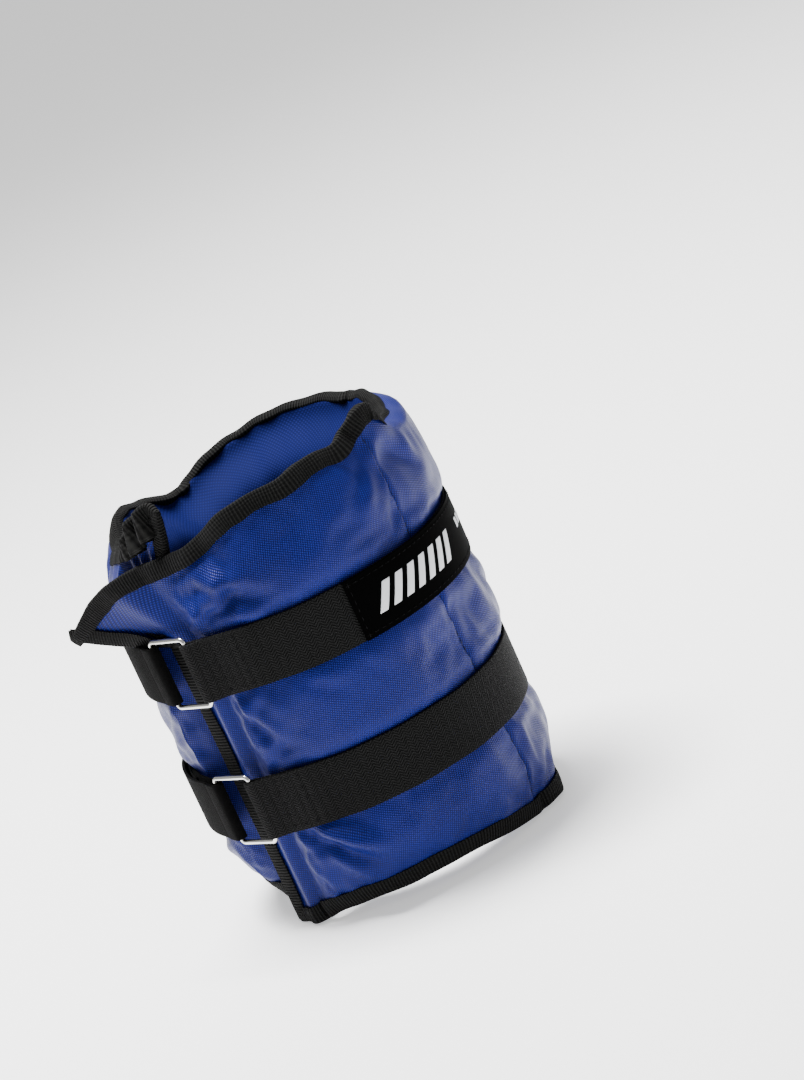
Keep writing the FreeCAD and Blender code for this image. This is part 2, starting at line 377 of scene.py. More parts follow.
@dataclass(frozen=True)
class WovenFinish:
    """A woven textile whose threads follow the piece's own UV map, in metres of cloth."""

    name: str
    weave: Weave
    low: str
    high: str
    pitch: float
    roughness: float
    sheen: float
    sheen_tint: str
    bump: float
    fleck: float = 0.0
    painted_thread_shading: float = 0.6
    depth: float = 0.25
    gloss: float = 0.5
    tint: str = "#ffffff"

    def wave(self, tree: bpy.types.NodeTree, place: bpy.types.NodeSocket, turn: float,
             pitch: float) -> bpy.types.NodeSocket:
        """Rounded ridges of one set of threads.

        Args:
            tree: the material's tree.
            place: UV place in metres.
            turn: direction in degrees across which the ridges repeat.
            pitch: millimetres from ridge to ridge.

        Returns:
            Socket with heights from 0 to 1.
        """
        a = math.radians(turn)
        step = 2.0 * math.pi / (pitch * MM)
        dot = add_node(tree, "VectorMath", {0: place, 1: (math.cos(a) * step, math.sin(a) * step, 0.0)},
                       operation="DOT_PRODUCT")
        sine = add_node(tree, "Math", {0: dot.outputs["Value"]}, operation="SINE")
        return add_node(tree, "MapRange", {"Value": sine.outputs[0], "From Min": -1.0}).outputs[0]

    def herringbone(self, tree: bpy.types.NodeTree, place: bpy.types.NodeSocket) -> bpy.types.NodeSocket:
        """Short floats in columns across the tape that lean one way and then the other.

        Args:
            tree: the material's tree.
            place: UV place in metres.

        Returns:
            Socket with heights from 0 to 1.
        """
        part = add_node(tree, "SeparateXYZ", {0: place})
        fold = add_node(tree, "Math", {0: part.outputs[0], 1: self.pitch * 1.15 * MM}, operation="PINGPONG")
        run = add_node(tree, "Math", {0: fold.outputs[0], 1: 0.9, 2: part.outputs[1]},
                       operation="MULTIPLY_ADD")
        bent = add_node(tree, "CombineXYZ", {0: run.outputs[0], 1: part.outputs[0]})
        floats = self.wave(tree, bent.outputs[0], 0.0, self.pitch * 0.75)
        columns = self.wave(tree, bent.outputs[0], 90.0, self.pitch * 1.15)
        soft = add_node(tree, "Math", {0: columns, 1: 0.5, 2: 0.5}, operation="MULTIPLY_ADD")
        return add_node(tree, "Math", {0: floats, 1: soft.outputs[0]}, operation="MULTIPLY").outputs[0]

    def height(self, tree: bpy.types.NodeTree, place: bpy.types.NodeSocket) -> bpy.types.NodeSocket:
        """Thread pattern from 0 in the gaps to 1 on the threads."""
        if self.weave is Weave.GROSGRAIN:
            ribs = self.wave(tree, place, 0.0, self.pitch)
            warp = self.wave(tree, place, 90.0, self.pitch * 0.55)
            part = add_node(tree, "Math", {0: warp, 1: 0.18}, operation="MULTIPLY")
            return add_node(tree, "Math", {0: ribs, 1: part.outputs[0]}, operation="ADD").outputs[0]
        if self.weave is Weave.HERRINGBONE:
            return self.herringbone(tree, place)
        turns = {Weave.SATIN_TWILL: (58.0, -20.0), Weave.WEBBING: (38.0, -38.0), Weave.SATIN: (90.0, 20.0)}
        first, second = turns[self.weave]
        one = self.wave(tree, place, first, self.pitch)
        two = self.wave(tree, place, second, self.pitch)
        return add_node(tree, "Math", {0: one, 1: two}, operation="MULTIPLY").outputs[0]

    def material(self) -> bpy.types.Material:
        """Build the textile's material."""
        mat, tree = new_material(self.name)
        place = add_node(tree, "UVMap").outputs[0]
        solid = add_node(tree, "TexCoord").outputs["Object"]
        threads = self.height(tree, place)
        wear = add_node(tree, "TexNoise", {"Vector": solid, "Scale": 28.0, "Detail": 4.0})
        yarn = add_node(tree, "TexNoise", {"Vector": place, "Scale": 1.0 / (self.pitch * MM), "Detail": 2.0})
        mixed = add_node(tree, "Math", {0: wear.outputs[0], 1: 0.3, 2: -0.12}, operation="MULTIPLY_ADD")
        # Colour follows the thread pattern: painted highlight on the thread crowns and painted shade in the
        # gaps, plus a random wear tone and yarn slubs.
        shade = add_node(tree, "Math", {0: threads, 1: self.painted_thread_shading, 2: mixed.outputs[0]},
                         operation="MULTIPLY_ADD")
        slub = add_node(tree, "Math", {0: yarn.outputs[0], 1: self.fleck, 2: shade.outputs[0]},
                        operation="MULTIPLY_ADD")
        colour = add_node(tree, "Mix", {0: slub.outputs[0], 6: linear(self.low), 7: linear(self.high)},
                          data_type="RGBA", clamp_factor=True)
        relief = add_node(tree, "Math", {0: yarn.outputs[0], 1: 0.35, 2: threads}, operation="MULTIPLY_ADD")
        bump = add_node(tree, "Bump", {"Strength": self.bump, "Distance": self.depth * MM,
                                       "Height": relief.outputs[0]})
        rough = add_node(tree, "MapRange", {"Value": wear.outputs[0], "To Min": self.roughness - 0.06,
                                            "To Max": self.roughness + 0.08})
        shader = add_node(tree, "BsdfPrincipled", {
            "Base Color": colour.outputs[2], "Roughness": rough.outputs[0], "Normal": bump.outputs[0],
            "Specular IOR Level": self.gloss, "Specular Tint": linear(self.tint),
            "Sheen Weight": self.sheen, "Sheen Roughness": 0.4, "Sheen Tint": linear(self.sheen_tint)})
        close_material(tree, shader)
        return mat


@dataclass(frozen=True)
class FuzzyFinish:
    """Napped or porous surface: short fibres or cells that scatter light, seen as a soft grain."""

    name: str
    low: str
    high: str
    grain: float
    bump: float
    sheen: float
    roughness: float = 0.95
    gloss: float = 0.2
    depth: float = 0.4

    def material(self) -> bpy.types.Material:
        """Build the napped material."""
        mat, tree = new_material(self.name)
        solid = add_node(tree, "TexCoord").outputs["Object"]
        cells = add_node(tree, "TexNoise", {"Vector": solid, "Scale": 1.0 / (self.grain * MM), "Detail": 5.0,
                                            "Roughness": 0.7})
        patch = add_node(tree, "TexNoise", {"Vector": solid, "Scale": 60.0, "Detail": 3.0})
        both = add_node(tree, "Math", {0: cells.outputs[0], 1: patch.outputs[0]}, operation="MULTIPLY")
        spread = add_node(tree, "MapRange", {"Value": both.outputs[0], "From Min": 0.12, "From Max": 0.42})
        ramp = add_node(tree, "ValToRGB", {"Fac": spread.outputs[0]})
        ramp.color_ramp.elements[0].color = linear(self.low)
        ramp.color_ramp.elements[1].color = linear(self.high)
        bump = add_node(tree, "Bump", {"Strength": self.bump, "Distance": self.depth * MM,
                                       "Height": cells.outputs[0]})
        shader = add_node(tree, "BsdfPrincipled", {
            "Base Color": ramp.outputs[0], "Roughness": self.roughness, "Normal": bump.outputs[0],
            "Sheen Weight": self.sheen, "Sheen Roughness": 0.6, "Specular IOR Level": self.gloss})
        close_material(tree, shader)
        return mat


@dataclass(frozen=True)
class PlatedFinish:
    """Bright nickel plate on drawn steel wire: mirror-like, with faint drawing lines and handling haze."""

    name: str = "bright_nickel_plate"
    colour: str = "#d9d8d4"
    roughness: float = 0.14

    def material(self) -> bpy.types.Material:
        """Build the plated material."""
        mat, tree = new_material(self.name)
        solid = add_node(tree, "TexCoord").outputs["Object"]
        haze = add_node(tree, "TexNoise", {"Vector": solid, "Scale": 180.0, "Detail": 4.0})
        rough = add_node(tree, "MapRange", {"Value": haze.outputs[0], "To Min": self.roughness - 0.05,
                                            "To Max": self.roughness + 0.14})
        pits = add_node(tree, "TexNoise", {"Vector": solid, "Scale": 900.0, "Detail": 2.0})
        bump = add_node(tree, "Bump", {"Strength": 0.05, "Distance": 0.05 * MM, "Height": pits.outputs[0]})
        shader = add_node(tree, "BsdfPrincipled", {"Base Color": linear(self.colour), "Metallic": 1.0,
                                                   "Roughness": rough.outputs[0], "Normal": bump.outputs[0]})
        close_material(tree, shader)
        return mat


# Satin-faced polyester twill, piece dyed royal blue: a broad soft gloss, violet at grazing angles.
# Its threads are 0.25 mm apart and are drawn at 0.85 mm, so that the diagonal shows; the diagonal is painted
# into the colour as painted highlight on the threads and painted shade between them.
BLUE_SATIN = WovenFinish("satin_polyester_twill", Weave.SATIN_TWILL, "#030836", "#18288c", 0.85, 0.38, 0.03,
                         "#9a90ff", 0.6, painted_thread_shading=0.9, depth=0.25, gloss=0.2, tint="#c4c0ff")
# Black polyester grosgrain tape, woven with thick weft ribs 1.3 mm apart: each rib catches a thin dull light,
# which is also painted into its colour as a painted highlight on the rib, with painted shade between the ribs.
BLACK_GROSGRAIN = WovenFinish("grosgrain_tape", Weave.GROSGRAIN, "#010101", "#1c1c1b", 1.3, 0.8, 0.02,
                              "#9a9aa0", 1.0, painted_thread_shading=0.75, depth=0.6, gloss=0.07)
# Black polypropylene webbing in a herringbone weave, its floats drawn 1.7 mm apart: pinpoint glints, painted
# into its colour as painted highlights on the floats, with painted shade between them.
BLACK_WEBBING = WovenFinish("polypropylene_webbing", Weave.HERRINGBONE, "#010101", "#1c1c1c", 1.7, 0.7, 0.02,
                            "#a0a0a6", 1.0, 0.35, painted_thread_shading=0.8, depth=0.5, gloss=0.06)
# Damask-woven label satin: very smooth black, almost without thread.
LABEL_SATIN = WovenFinish("damask_label_satin", Weave.SATIN, "#010101", "#050505", 0.6, 0.7, 0.0,
                          "#b0b0c0", 0.15, gloss=0.01)
# White filament yarn woven into the label, slightly raised.
LABEL_YARN = WovenFinish("white_filament_yarn", Weave.SATIN, "#c9cbd0", "#f4f5f7", 0.6, 0.6, 0.2,
                         "#ffffff", 0.4)
# Plain-woven polyester lining in the cover's blue, duller than the satin; its threads are drawn at 1.1 mm.
BLUE_LINING = WovenFinish("plain_polyester_lining", Weave.WEBBING, "#050a34", "#121b5c", 1.1, 0.7, 0.05,
                          "#6f78ff", 0.4, gloss=0.12, tint="#8a92ff")
# Brushed nylon loop tape: a matte black nap that shows almost no gloss.
LOOP_NAP = FuzzyFinish("brushed_nylon_loop", "#010101", "#0b0b0b", 0.55, 0.9, 0.01, gloss=0.04)
# Moulded nylon hook tape: stiff black stubble with dull glints.
HOOK_STUBBLE = FuzzyFinish("moulded_nylon_hook", "#08080a", "#2a2a2e", 0.8, 1.0, 0.05, 0.6)
# Open-cell polyurethane foam, grey: fine pores.
GREY_FOAM = FuzzyFinish("open_cell_foam", "#3b3b3f", "#77777c", 0.7, 0.7, 0.1)
# Welded polyethylene film bag, cloudy from the sand inside.
POUCH_FILM = FuzzyFinish("welded_polyethylene_film", "#8d8f94", "#c3c5c9", 2.5, 0.2, 0.0, 0.35)
# Fine iron sand: dark grains of about half a millimetre.
IRON_SAND = FuzzyFinish("iron_sand", "#1b1917", "#5a5650", 0.5, 1.0, 0.0, 0.7)
# Bonded polyester sewing thread in black and in navy.
BLACK_THREAD = FuzzyFinish("bonded_thread_black", "#030303", "#101012", 0.3, 0.5, 0.02, 0.8, gloss=0.06)
NAVY_THREAD = FuzzyFinish("bonded_thread_navy", "#02051c", "#0a123c", 0.3, 0.5, 0.02, 0.7, gloss=0.1)


class Finishes:
    """Each finish's material, built once when it is first asked for."""

    def __init__(self) -> None:
        """Start with no material built."""
        self.built: dict[str, bpy.types.Material] = {}

    def of(self, finish: WovenFinish | FuzzyFinish | PlatedFinish) -> bpy.types.Material:
        """The material of a finish."""
        if finish.name not in self.built:
            self.built[finish.name] = finish.material()
        return self.built[finish.name]


FINISHES = Finishes()


# ---------------------------------------------------------------- the wrap's shape

@dataclass(frozen=True)
class Crease:
    """A pulled fold in the cloth, from one place to another: a hollow beside a low ridge."""

    start: tuple[float, float]
    end: tuple[float, float]
    depth: float
    width: float

    def push(self, angle: Array, height: Array) -> Array:
        """How far the cloth moves outwards at each angle and height, in millimetres."""
        scale = WRAP.seat * math.pi / 180.0
        a = np.array([self.start[0] * scale, self.start[1]])
        b = np.array([self.end[0] * scale, self.end[1]])
        axis = (b - a) / np.linalg.norm(b - a)
        dx, dy = angle * scale - a[0], height - a[1]
        run = (dx * axis[0] + dy * axis[1]) / np.linalg.norm(b - a)
        off = (-dx * axis[1] + dy * axis[0]) / (self.width * (0.55 + 0.6 * np.clip(run, 0.0, 1.0)))
        fade = smooth(run, -0.12, 0.2) * (1.0 - smooth(run, 0.6, 1.12))
        hollow = np.exp(-np.sqrt(off ** 2 + 0.02) * 1.7)
        ridges = 0.7 * np.exp(-((off - 1.2) * 1.1) ** 2) + 0.25 * np.exp(-(off + 1.3) ** 2)
        return 1.7 * self.depth * fade * (ridges - hollow)


@dataclass(frozen=True)
class WrapShape:
    """Outside and inside of the closed wrap, as a sheet that starts at its ring end and ends under it."""

    seat: float = 67.0
    ring_edge: float = -7.0
    tail_edge: float = 365.0
    pocket_start: float = 9.0
    pocket_end: float = 345.0
    ring_wall: tuple[float, float] = (8.0, 15.5)
    tail_wall: tuple[float, float] = (338.5, 347.0)
    strip_height: float = 72.0
    ring_strip: float = 62.9
    tail_strip: float = 59.0
    leg: float = 43.0
    seams: tuple[float, ...] = (99.0, 181.0, 263.0)
    strap_heights: tuple[float, float] = (30.0, -31.0)
    strap_half: float = 12.5
    top: tuple = ((-7, 73), (3, 74.5), (13, 75.5), (22, 78.5), (36, 86), (50, 88.5), (60, 89), (70, 90),
                  (80, 90.5), (88, 91), (94, 92.5), (100, 97), (105, 97), (112, 89), (119, 84.5),
                  (130, 83.5), (150, 86), (180, 88), (215, 87), (238, 83), (252, 77), (264, 75),
                  (276, 79), (296, 83), (304, 79.5), (312, 76.5), (324, 77.5), (338, 79.5), (345, 82),
                  (365, 84))
    shoulder: tuple = ((-7, 30), (60, 30), (92, 24), (106, 11), (200, 15), (320, 17), (365, 20))
    bottom: tuple = ((-7, -86.2), (6, -86), (18, -84), (38, -81.5), (60, -81), (80, -82.5), (97, -85.5),
                     (116, -86.5), (150, -86.2), (200, -86.2), (250, -86), (285, -84.5), (310, -80),
                     (340, -78), (365, -80))
    foot: tuple = ((-7, 61.6), (60, 61.6), (95, 62), (108, 65.5), (118, 67), (130, 63), (150, 61),
                   (290, 61), (320, 58), (365, 59))
    rim: tuple = ((-7, 61.6), (60, 61.6), (90, 62), (103, 67), (116, 61), (150, 60), (280, 61),
                  (300, 58.5), (325, 57.5), (345, 58.5), (365, 59))
    ear_tip: tuple[float, float, float] = (-47.0, -76.0, 52.0)
    ear_low: tuple[float, float, float] = (-24.0, -69.0, 42.5)
    flap_share: float = 0.80
    flap_top: tuple = ((349, 61.5, 84.5), (353, 58.5, 88), (357, 62, 91), (361, 59, 93), (365, 62, 95.5),
                       (370, 59.5, 96.5), (374.5, 61.5, 93))
    flap_free: tuple = ((366, 59.2, 64), (367.5, 59.5, 72), (371.5, 60.5, 82), (374.5, 61.5, 93))

    def seam_angle(self, seam: float, height: Array) -> Array:
        """Angle of a seam, which leans a little, at each height."""
        return seam - 4.0 * height / 87.0

    def heights(self, angle: Array, share: Array) -> Array:
        """Height of each share of the cloth, 0 at its bottom edge and 1 at its top edge."""
        low = through(self.bottom, angle) + 0.8 + Waviness(5, 0.5, 60, 18).at(angle)
        high = through(self.top, angle) - 0.8 + Waviness(6, 0.9, 55, 14).at(angle)
        upper, lower = self.strap_heights
        marks = (0.0, 0.31, 0.665, 1.0)
        bands = [low + (lower - low) * share / marks[1],
                 lower + (upper - lower) * (share - marks[1]) / (marks[2] - marks[1]),
                 upper + (high - upper) * (share - marks[2]) / (marks[3] - marks[2])]
        return np.where(share < marks[1], bands[0], np.where(share < marks[2], bands[1], bands[2]))

    def strap_pull(self, height: Array) -> Array:
        """1 where a strap holds the cloth in, 0 between straps."""
        near = np.min([np.abs(height - z) for z in self.strap_heights], axis=0)
        return 1.0 - smooth(near, self.strap_half - 0.5, self.strap_half + 7.0)

    def outside(self, angle: Array, share: Array) -> Array:
        """Radius and height of the outer cloth before it is filled.

        Args:
            angle: degrees round the wrap.
            share: how far up the cloth.

        Returns:
            Radius and height, stacked on the last axis.
        """
        height = self.heights(angle, share)
        low, high = self.heights(angle, 0.0 * share), self.heights(angle, 0.0 * share + 1.0)
        fall = through(self.shoulder, angle)
        rise = np.minimum(np.clip((high - height) / fall, 0, 1), np.clip((height - low) / 26.0, 0, 1))
        rim = np.where(height < 0.0, through(self.foot, angle), through(self.rim, angle))
        full = rim + (self.seat - rim) * np.sin(rise * math.pi / 2.0) ** 0.85
        full = full + 1.1 * (1.0 - self.strap_pull(height)) * smooth(rise, 0.3, 1.0)
        full = full + Waviness(9, 0.9, 34, 11).at(angle) * (1.0 - smooth(rise, 0.0, 0.7)) * (height > 0.0)
        for seam in self.seams:
            gap = np.abs(angle - self.seam_angle(seam, height))
            full = full - (1.7 - 1.3 * self.strap_pull(height)) * np.exp(-(gap / 2.6) ** 2)
        roll = 2.1 * np.exp(-((angle - 3.4) / 2.4) ** 2) - 1.1 * np.exp(-((angle - 8.2) / 1.1) ** 2)
        start = smooth(angle, *self.ring_wall)
        end = 1.0 - smooth(angle, *self.tail_wall)
        ring = self.ring_strip + roll
        near_ring, near_tail = ring + (full - ring) * start, self.tail_strip + (full - self.tail_strip) * end
        radius = np.where(angle < 180.0, near_ring, near_tail)
        return np.stack([radius, height], -1)

    def ear(self, points: Array, angle: Array, share: Array) -> Array:
        """Pull the ring end's upper corner out into its ear.

        Args:
            points: places on the strip.
            angle: degrees round the wrap.
            share: how far up the cloth.

        Returns:
            The moved places.
        """
        reach = 1.0 - smooth(angle, self.ring_edge, 24.0) ** 0.8
        start_height = self.strap_heights[0] + self.strap_half - 3.0
        rise = self.strip_height - start_height
        t = np.clip((self.heights(angle, share) - start_height) / rise, 0.0, 1.0)[..., None]
        root_low = polar(self.ring_strip, self.ring_edge, start_height)
        root = polar(self.ring_strip, self.ring_edge, start_height + t[..., 0] * rise)
        tip, low = np.array(self.ear_tip), np.array(self.ear_low)
        edge = (1 - t) ** 2 * root_low + 2 * t * (1 - t) * low + t ** 2 * tip
        return points + (edge - root) * reach[..., None] ** np.array([1.5, 1.5, 5.0])

    def flap(self, points: Array, marks: Array, shares: Array) -> None:
        """Let the tail end's upper corner stand up above the ring end as a rounded flap, in place.

        Args:
            points: places of the cloth, shape (columns, rows, 3), which are changed.
            marks: angle of each column.
            shares: share of each row.
        """
        first, low = np.searchsorted(marks, self.pocket_end), np.searchsorted(shares, self.flap_share)
        patch = points[first:, low:]
        u = ((marks[first:] - marks[first]) / (marks[-1] - marks[first]))[:, None, None]
        v = ((shares[low:] - shares[low]) / (1.0 - shares[low]))[None, :, None]
        left, bottom = patch[:1].copy(), patch[:, :1].copy()
        top = space_curve(patch[0, -1], self.flap_top, u[:, 0, 0])[:, None]
        free = space_curve(patch[-1, 0], self.flap_free, v[0, :, 0])[None]
        corners = ((1 - u) * (1 - v) * left[:, :1] + u * (1 - v) * bottom[-1:]
                   + (1 - u) * v * top[:1] + u * v * top[-1:])
        patch[:] = (1 - v) * bottom + v * top + (1 - u) * left + u * free - corners

    def pushed(self, angle: Array, height: Array) -> Array:
        """Sum of all creases at each place, in millimetres outwards."""
        total = np.zeros(np.broadcast(angle, height).shape)
        for crease in CREASES:
            total = total + crease.push(angle, height)
        return total


WRAP = WrapShape()
CREASES = (
    Crease((15, -43), (43, -70), 4.4, 5.0), Crease((20, -52), (30, -76), 1.8, 3.6),
    Crease((14, 46), (38, 58), 2.6, 5.5), Crease((17, 62), (44, 48), 2.0, 5.0),
    Crease((10, 66), (30, 78), 1.6, 4.0), Crease((13, 14), (26, -12), 2.2, 3.4),
    Crease((15, -18), (32, -3), 1.6, 3.6), Crease((16, 2), (30, 16), 1.4, 3.4),
    Crease((12, -60), (20, -80), 1.5, 3.0), Crease((26, 46), (33, 70), 1.4, 4.5),
    Crease((38, 15), (52, 4), 1.0, 3.5), Crease((58, 15), (66, 2), 0.9, 3.0),
    Crease((92, 78), (76, 62), 1.3, 4.0), Crease((104, 80), (116, 62), 1.3, 4.0),
    Crease((95, -79), (84, -64), 1.3, 3.6), Crease((110, -79), (121, -66), 1.2, 3.6),
    Crease((16, -83), (24, -66), 1.4, 3.0), Crease((30, -80), (36, -68), 1.1, 2.8),
    Crease((128, 12), (146, -8), 1.4, 4.0), Crease((150, 60), (170, 74), 1.4, 4.5),
    Crease((190, 46), (214, 62), 1.5, 5.0), Crease((240, 78), (226, 62), 1.3, 4.0),
    Crease((200, 14), (222, -2), 1.4, 4.5), Crease((245, -17), (228, -5), 1.2, 4.0),
    Crease((210, -78), (226, -62), 1.5, 4.0), Crease((280, 60), (306, 50), 1.6, 5.0),
    Crease((300, 14), (318, -4), 1.5, 4.5), Crease((336, 12), (322, -3), 1.5, 3.6),
    Crease((335, -17), (318, -4), 1.4, 3.6), Crease((334, -47), (314, -58), 1.9, 4.2),
    Crease((290, -80), (300, -62), 1.4, 4.0),
)


@dataclass
class OuterCover:
    """The satin cloth of the outside, filled out by the sand and held in by straps, seams and tapes."""

    row_count: int = 54
    pressure: float = 3.4
    excess: float = 0.035
    frames: int = 24
    free: tuple[float, float] = (10.5, 343.5)
    ring_fade: tuple[float, float] = (8.5, 14.0)
    tail_fade: tuple[float, float] = (339.0, 345.0)
    groove: float = 1.5
    cap: float = 4.5
    thickness: float = 0.5

    def columns(self) -> Array:
        """Places of the columns: finer at the ends and on both sides of each seam."""
        marks = [np.arange(WRAP.ring_edge, 20.0, 1.0), np.arange(20.0, 338.0, 2.2),
                 np.arange(338.0, WRAP.tail_edge + 0.01, 0.6)]
        beside = [seam + side * gap for seam in WRAP.seams for side in (-1, 1) for gap in (0.0, 0.45, 1.0)]
        merged = np.unique(np.round(np.concatenate(marks + [np.array(beside)]), 3))
        keep = np.concatenate([[True], np.diff(merged) > 0.3])
        return merged[keep]

    def rest_points(self) -> tuple[Array, Array, Array]:
        """Unfilled cloth.

        Returns:
            Places in millimetres, the angle of each, and how far up the cloth each is.
        """
        marks, shares = self.columns(), np.linspace(0.0, 1.0, self.row_count)
        share = np.broadcast_to(shares[None], (len(marks), len(shares))).copy()
        angle = np.broadcast_to(marks[:, None], share.shape).copy()
        shape = WRAP.outside(angle, share)
        lean = np.zeros_like(angle)
        for seam in WRAP.seams:
            near = np.exp(-((angle - seam) / 12.0) ** 2)
            lean = lean + (WRAP.seam_angle(seam, shape[..., 1]) - seam) * near
        points = polar(shape[..., 0], angle + lean, shape[..., 1])
        head = marks < 26.0
        points[head] = WRAP.ear(points[head], angle[head], share[head])
        WRAP.flap(points, marks, shares)
        return points, np.broadcast_to(marks[:, None], share.shape), share

    def held(self, mark: Array, share: Array, points: Array) -> Array:
        """How firmly each place is held, from 0 to 1: edges, ends, seams and the bands under the straps."""
        height = points[..., 2]
        near = np.min([np.abs(height - z) for z in WRAP.strap_heights], axis=0)
        hold = (near < WRAP.strap_half + 0.8).astype(float)
        hold = np.maximum(hold, ((share < 0.045) | (share > 0.955)).astype(float))
        hold = np.maximum(hold, ((mark < self.free[0]) | (mark > self.free[1])).astype(float))
        for seam in WRAP.seams:
            hold = np.maximum(hold, (np.abs(mark - seam) < 0.3).astype(float))
        return hold

    def fill(self, obj: bpy.types.Object, hold: Array) -> None:
        """Let the cloth fill out by simulation, and keep how far it moves within a cap.

        Args:
            obj: the cloth's grid.
            hold: how firmly each vertex is held.
        """
        before = get_points(obj)
        group = obj.vertex_groups.new(name="held")
        for weight in np.unique(hold):
            group.add(np.nonzero(hold == weight)[0].tolist(), float(weight), "REPLACE")
        mod = obj.modifiers.new("Filling", "CLOTH")
        cloth = mod.settings
        cloth.quality = 6
        cloth.mass = 0.12
        cloth.tension_stiffness = cloth.compression_stiffness = 25.0
        cloth.shear_stiffness = 6.0
        cloth.bending_stiffness = 0.12
        cloth.use_pressure = True
        cloth.uniform_pressure_force = self.pressure
        cloth.shrink_min = cloth.shrink_max = -self.excess
        cloth.vertex_group_mass = group.name
        cloth.effector_weights.gravity = 0.0
        mod.collision_settings.use_collision = False
        mod.point_cache.frame_end = self.frames
        for number in range(1, self.frames + 1):
            bpy.context.scene.frame_set(number)
        shaped = obj.evaluated_get(bpy.context.evaluated_depsgraph_get()).to_mesh()
        after = np.empty(len(shaped.vertices) * 3, np.float32)
        shaped.vertices.foreach_get("co", after)
        obj.modifiers.remove(mod)
        bpy.context.scene.frame_set(1)
        move = after.reshape(-1, 3) - before
        far = np.linalg.norm(move, axis=1, keepdims=True)
        cap = self.cap * MM
        LOG.info("cloth moved up to %.1f mm, mean %.2f mm", far.max() / MM, far.mean() / MM)
        set_points(obj, before + move * (cap * np.tanh(far / cap) / np.maximum(far, 1e-9)))

    def build(self) -> tuple[bpy.types.Object, Array]:
        """Make the cover.

        Returns:
            The piece and its unfilled places, which the tapes follow.
        """
        points, mark, share = self.rest_points()
        obj = sheet("outer_cover", points, lay_lengths(points))
        order = np.array(obj["order"])
        hold = self.held(mark, share, points).ravel()[order]
        self.fill(obj, hold)
        moved = get_points(obj)
        radius = np.linalg.norm(moved[:, :2], axis=1, keepdims=True)
        outward = np.concatenate([moved[:, :2] / radius, np.zeros_like(radius)], axis=1)
        angle, height = mark.ravel()[order], moved[:, 2] / MM
        near = np.min([np.abs(height - z) for z in WRAP.strap_heights], axis=0)
        up = share.ravel()[order]
        free = smooth(near, WRAP.strap_half - 1.0, WRAP.strap_half + 4.0) * smooth(up, 0.0, 0.07)
        free = free * (1.0 - smooth(up, 0.93, 1.0)) * smooth(angle, *self.ring_fade)
        free = free * (1.0 - smooth(angle, *self.tail_fade))
        push = WRAP.pushed(angle, height) * free
        ripple = Waviness(21, 0.22, 24, 7, 7).at(angle * 1.15 + 0.35 * height) * free
        groove = np.zeros_like(angle)
        for seam in WRAP.seams:
            groove = groove + self.groove * (np.abs(angle - seam) < 0.2) * (near > WRAP.strap_half - 4.0)
        set_points(obj, moved + outward * ((push + ripple - groove) * MM)[:, None])
        apply_modifier(obj, "SUBSURF", levels=1, render_levels=1)
        apply_modifier(obj, "SOLIDIFY", thickness=self.thickness * MM, offset=-1.0)
        finish_piece(obj, FINISHES.of(BLUE_SATIN), 60.0)
        place(obj, "cuff", "cloth", "outer_panel")
        return obj, points


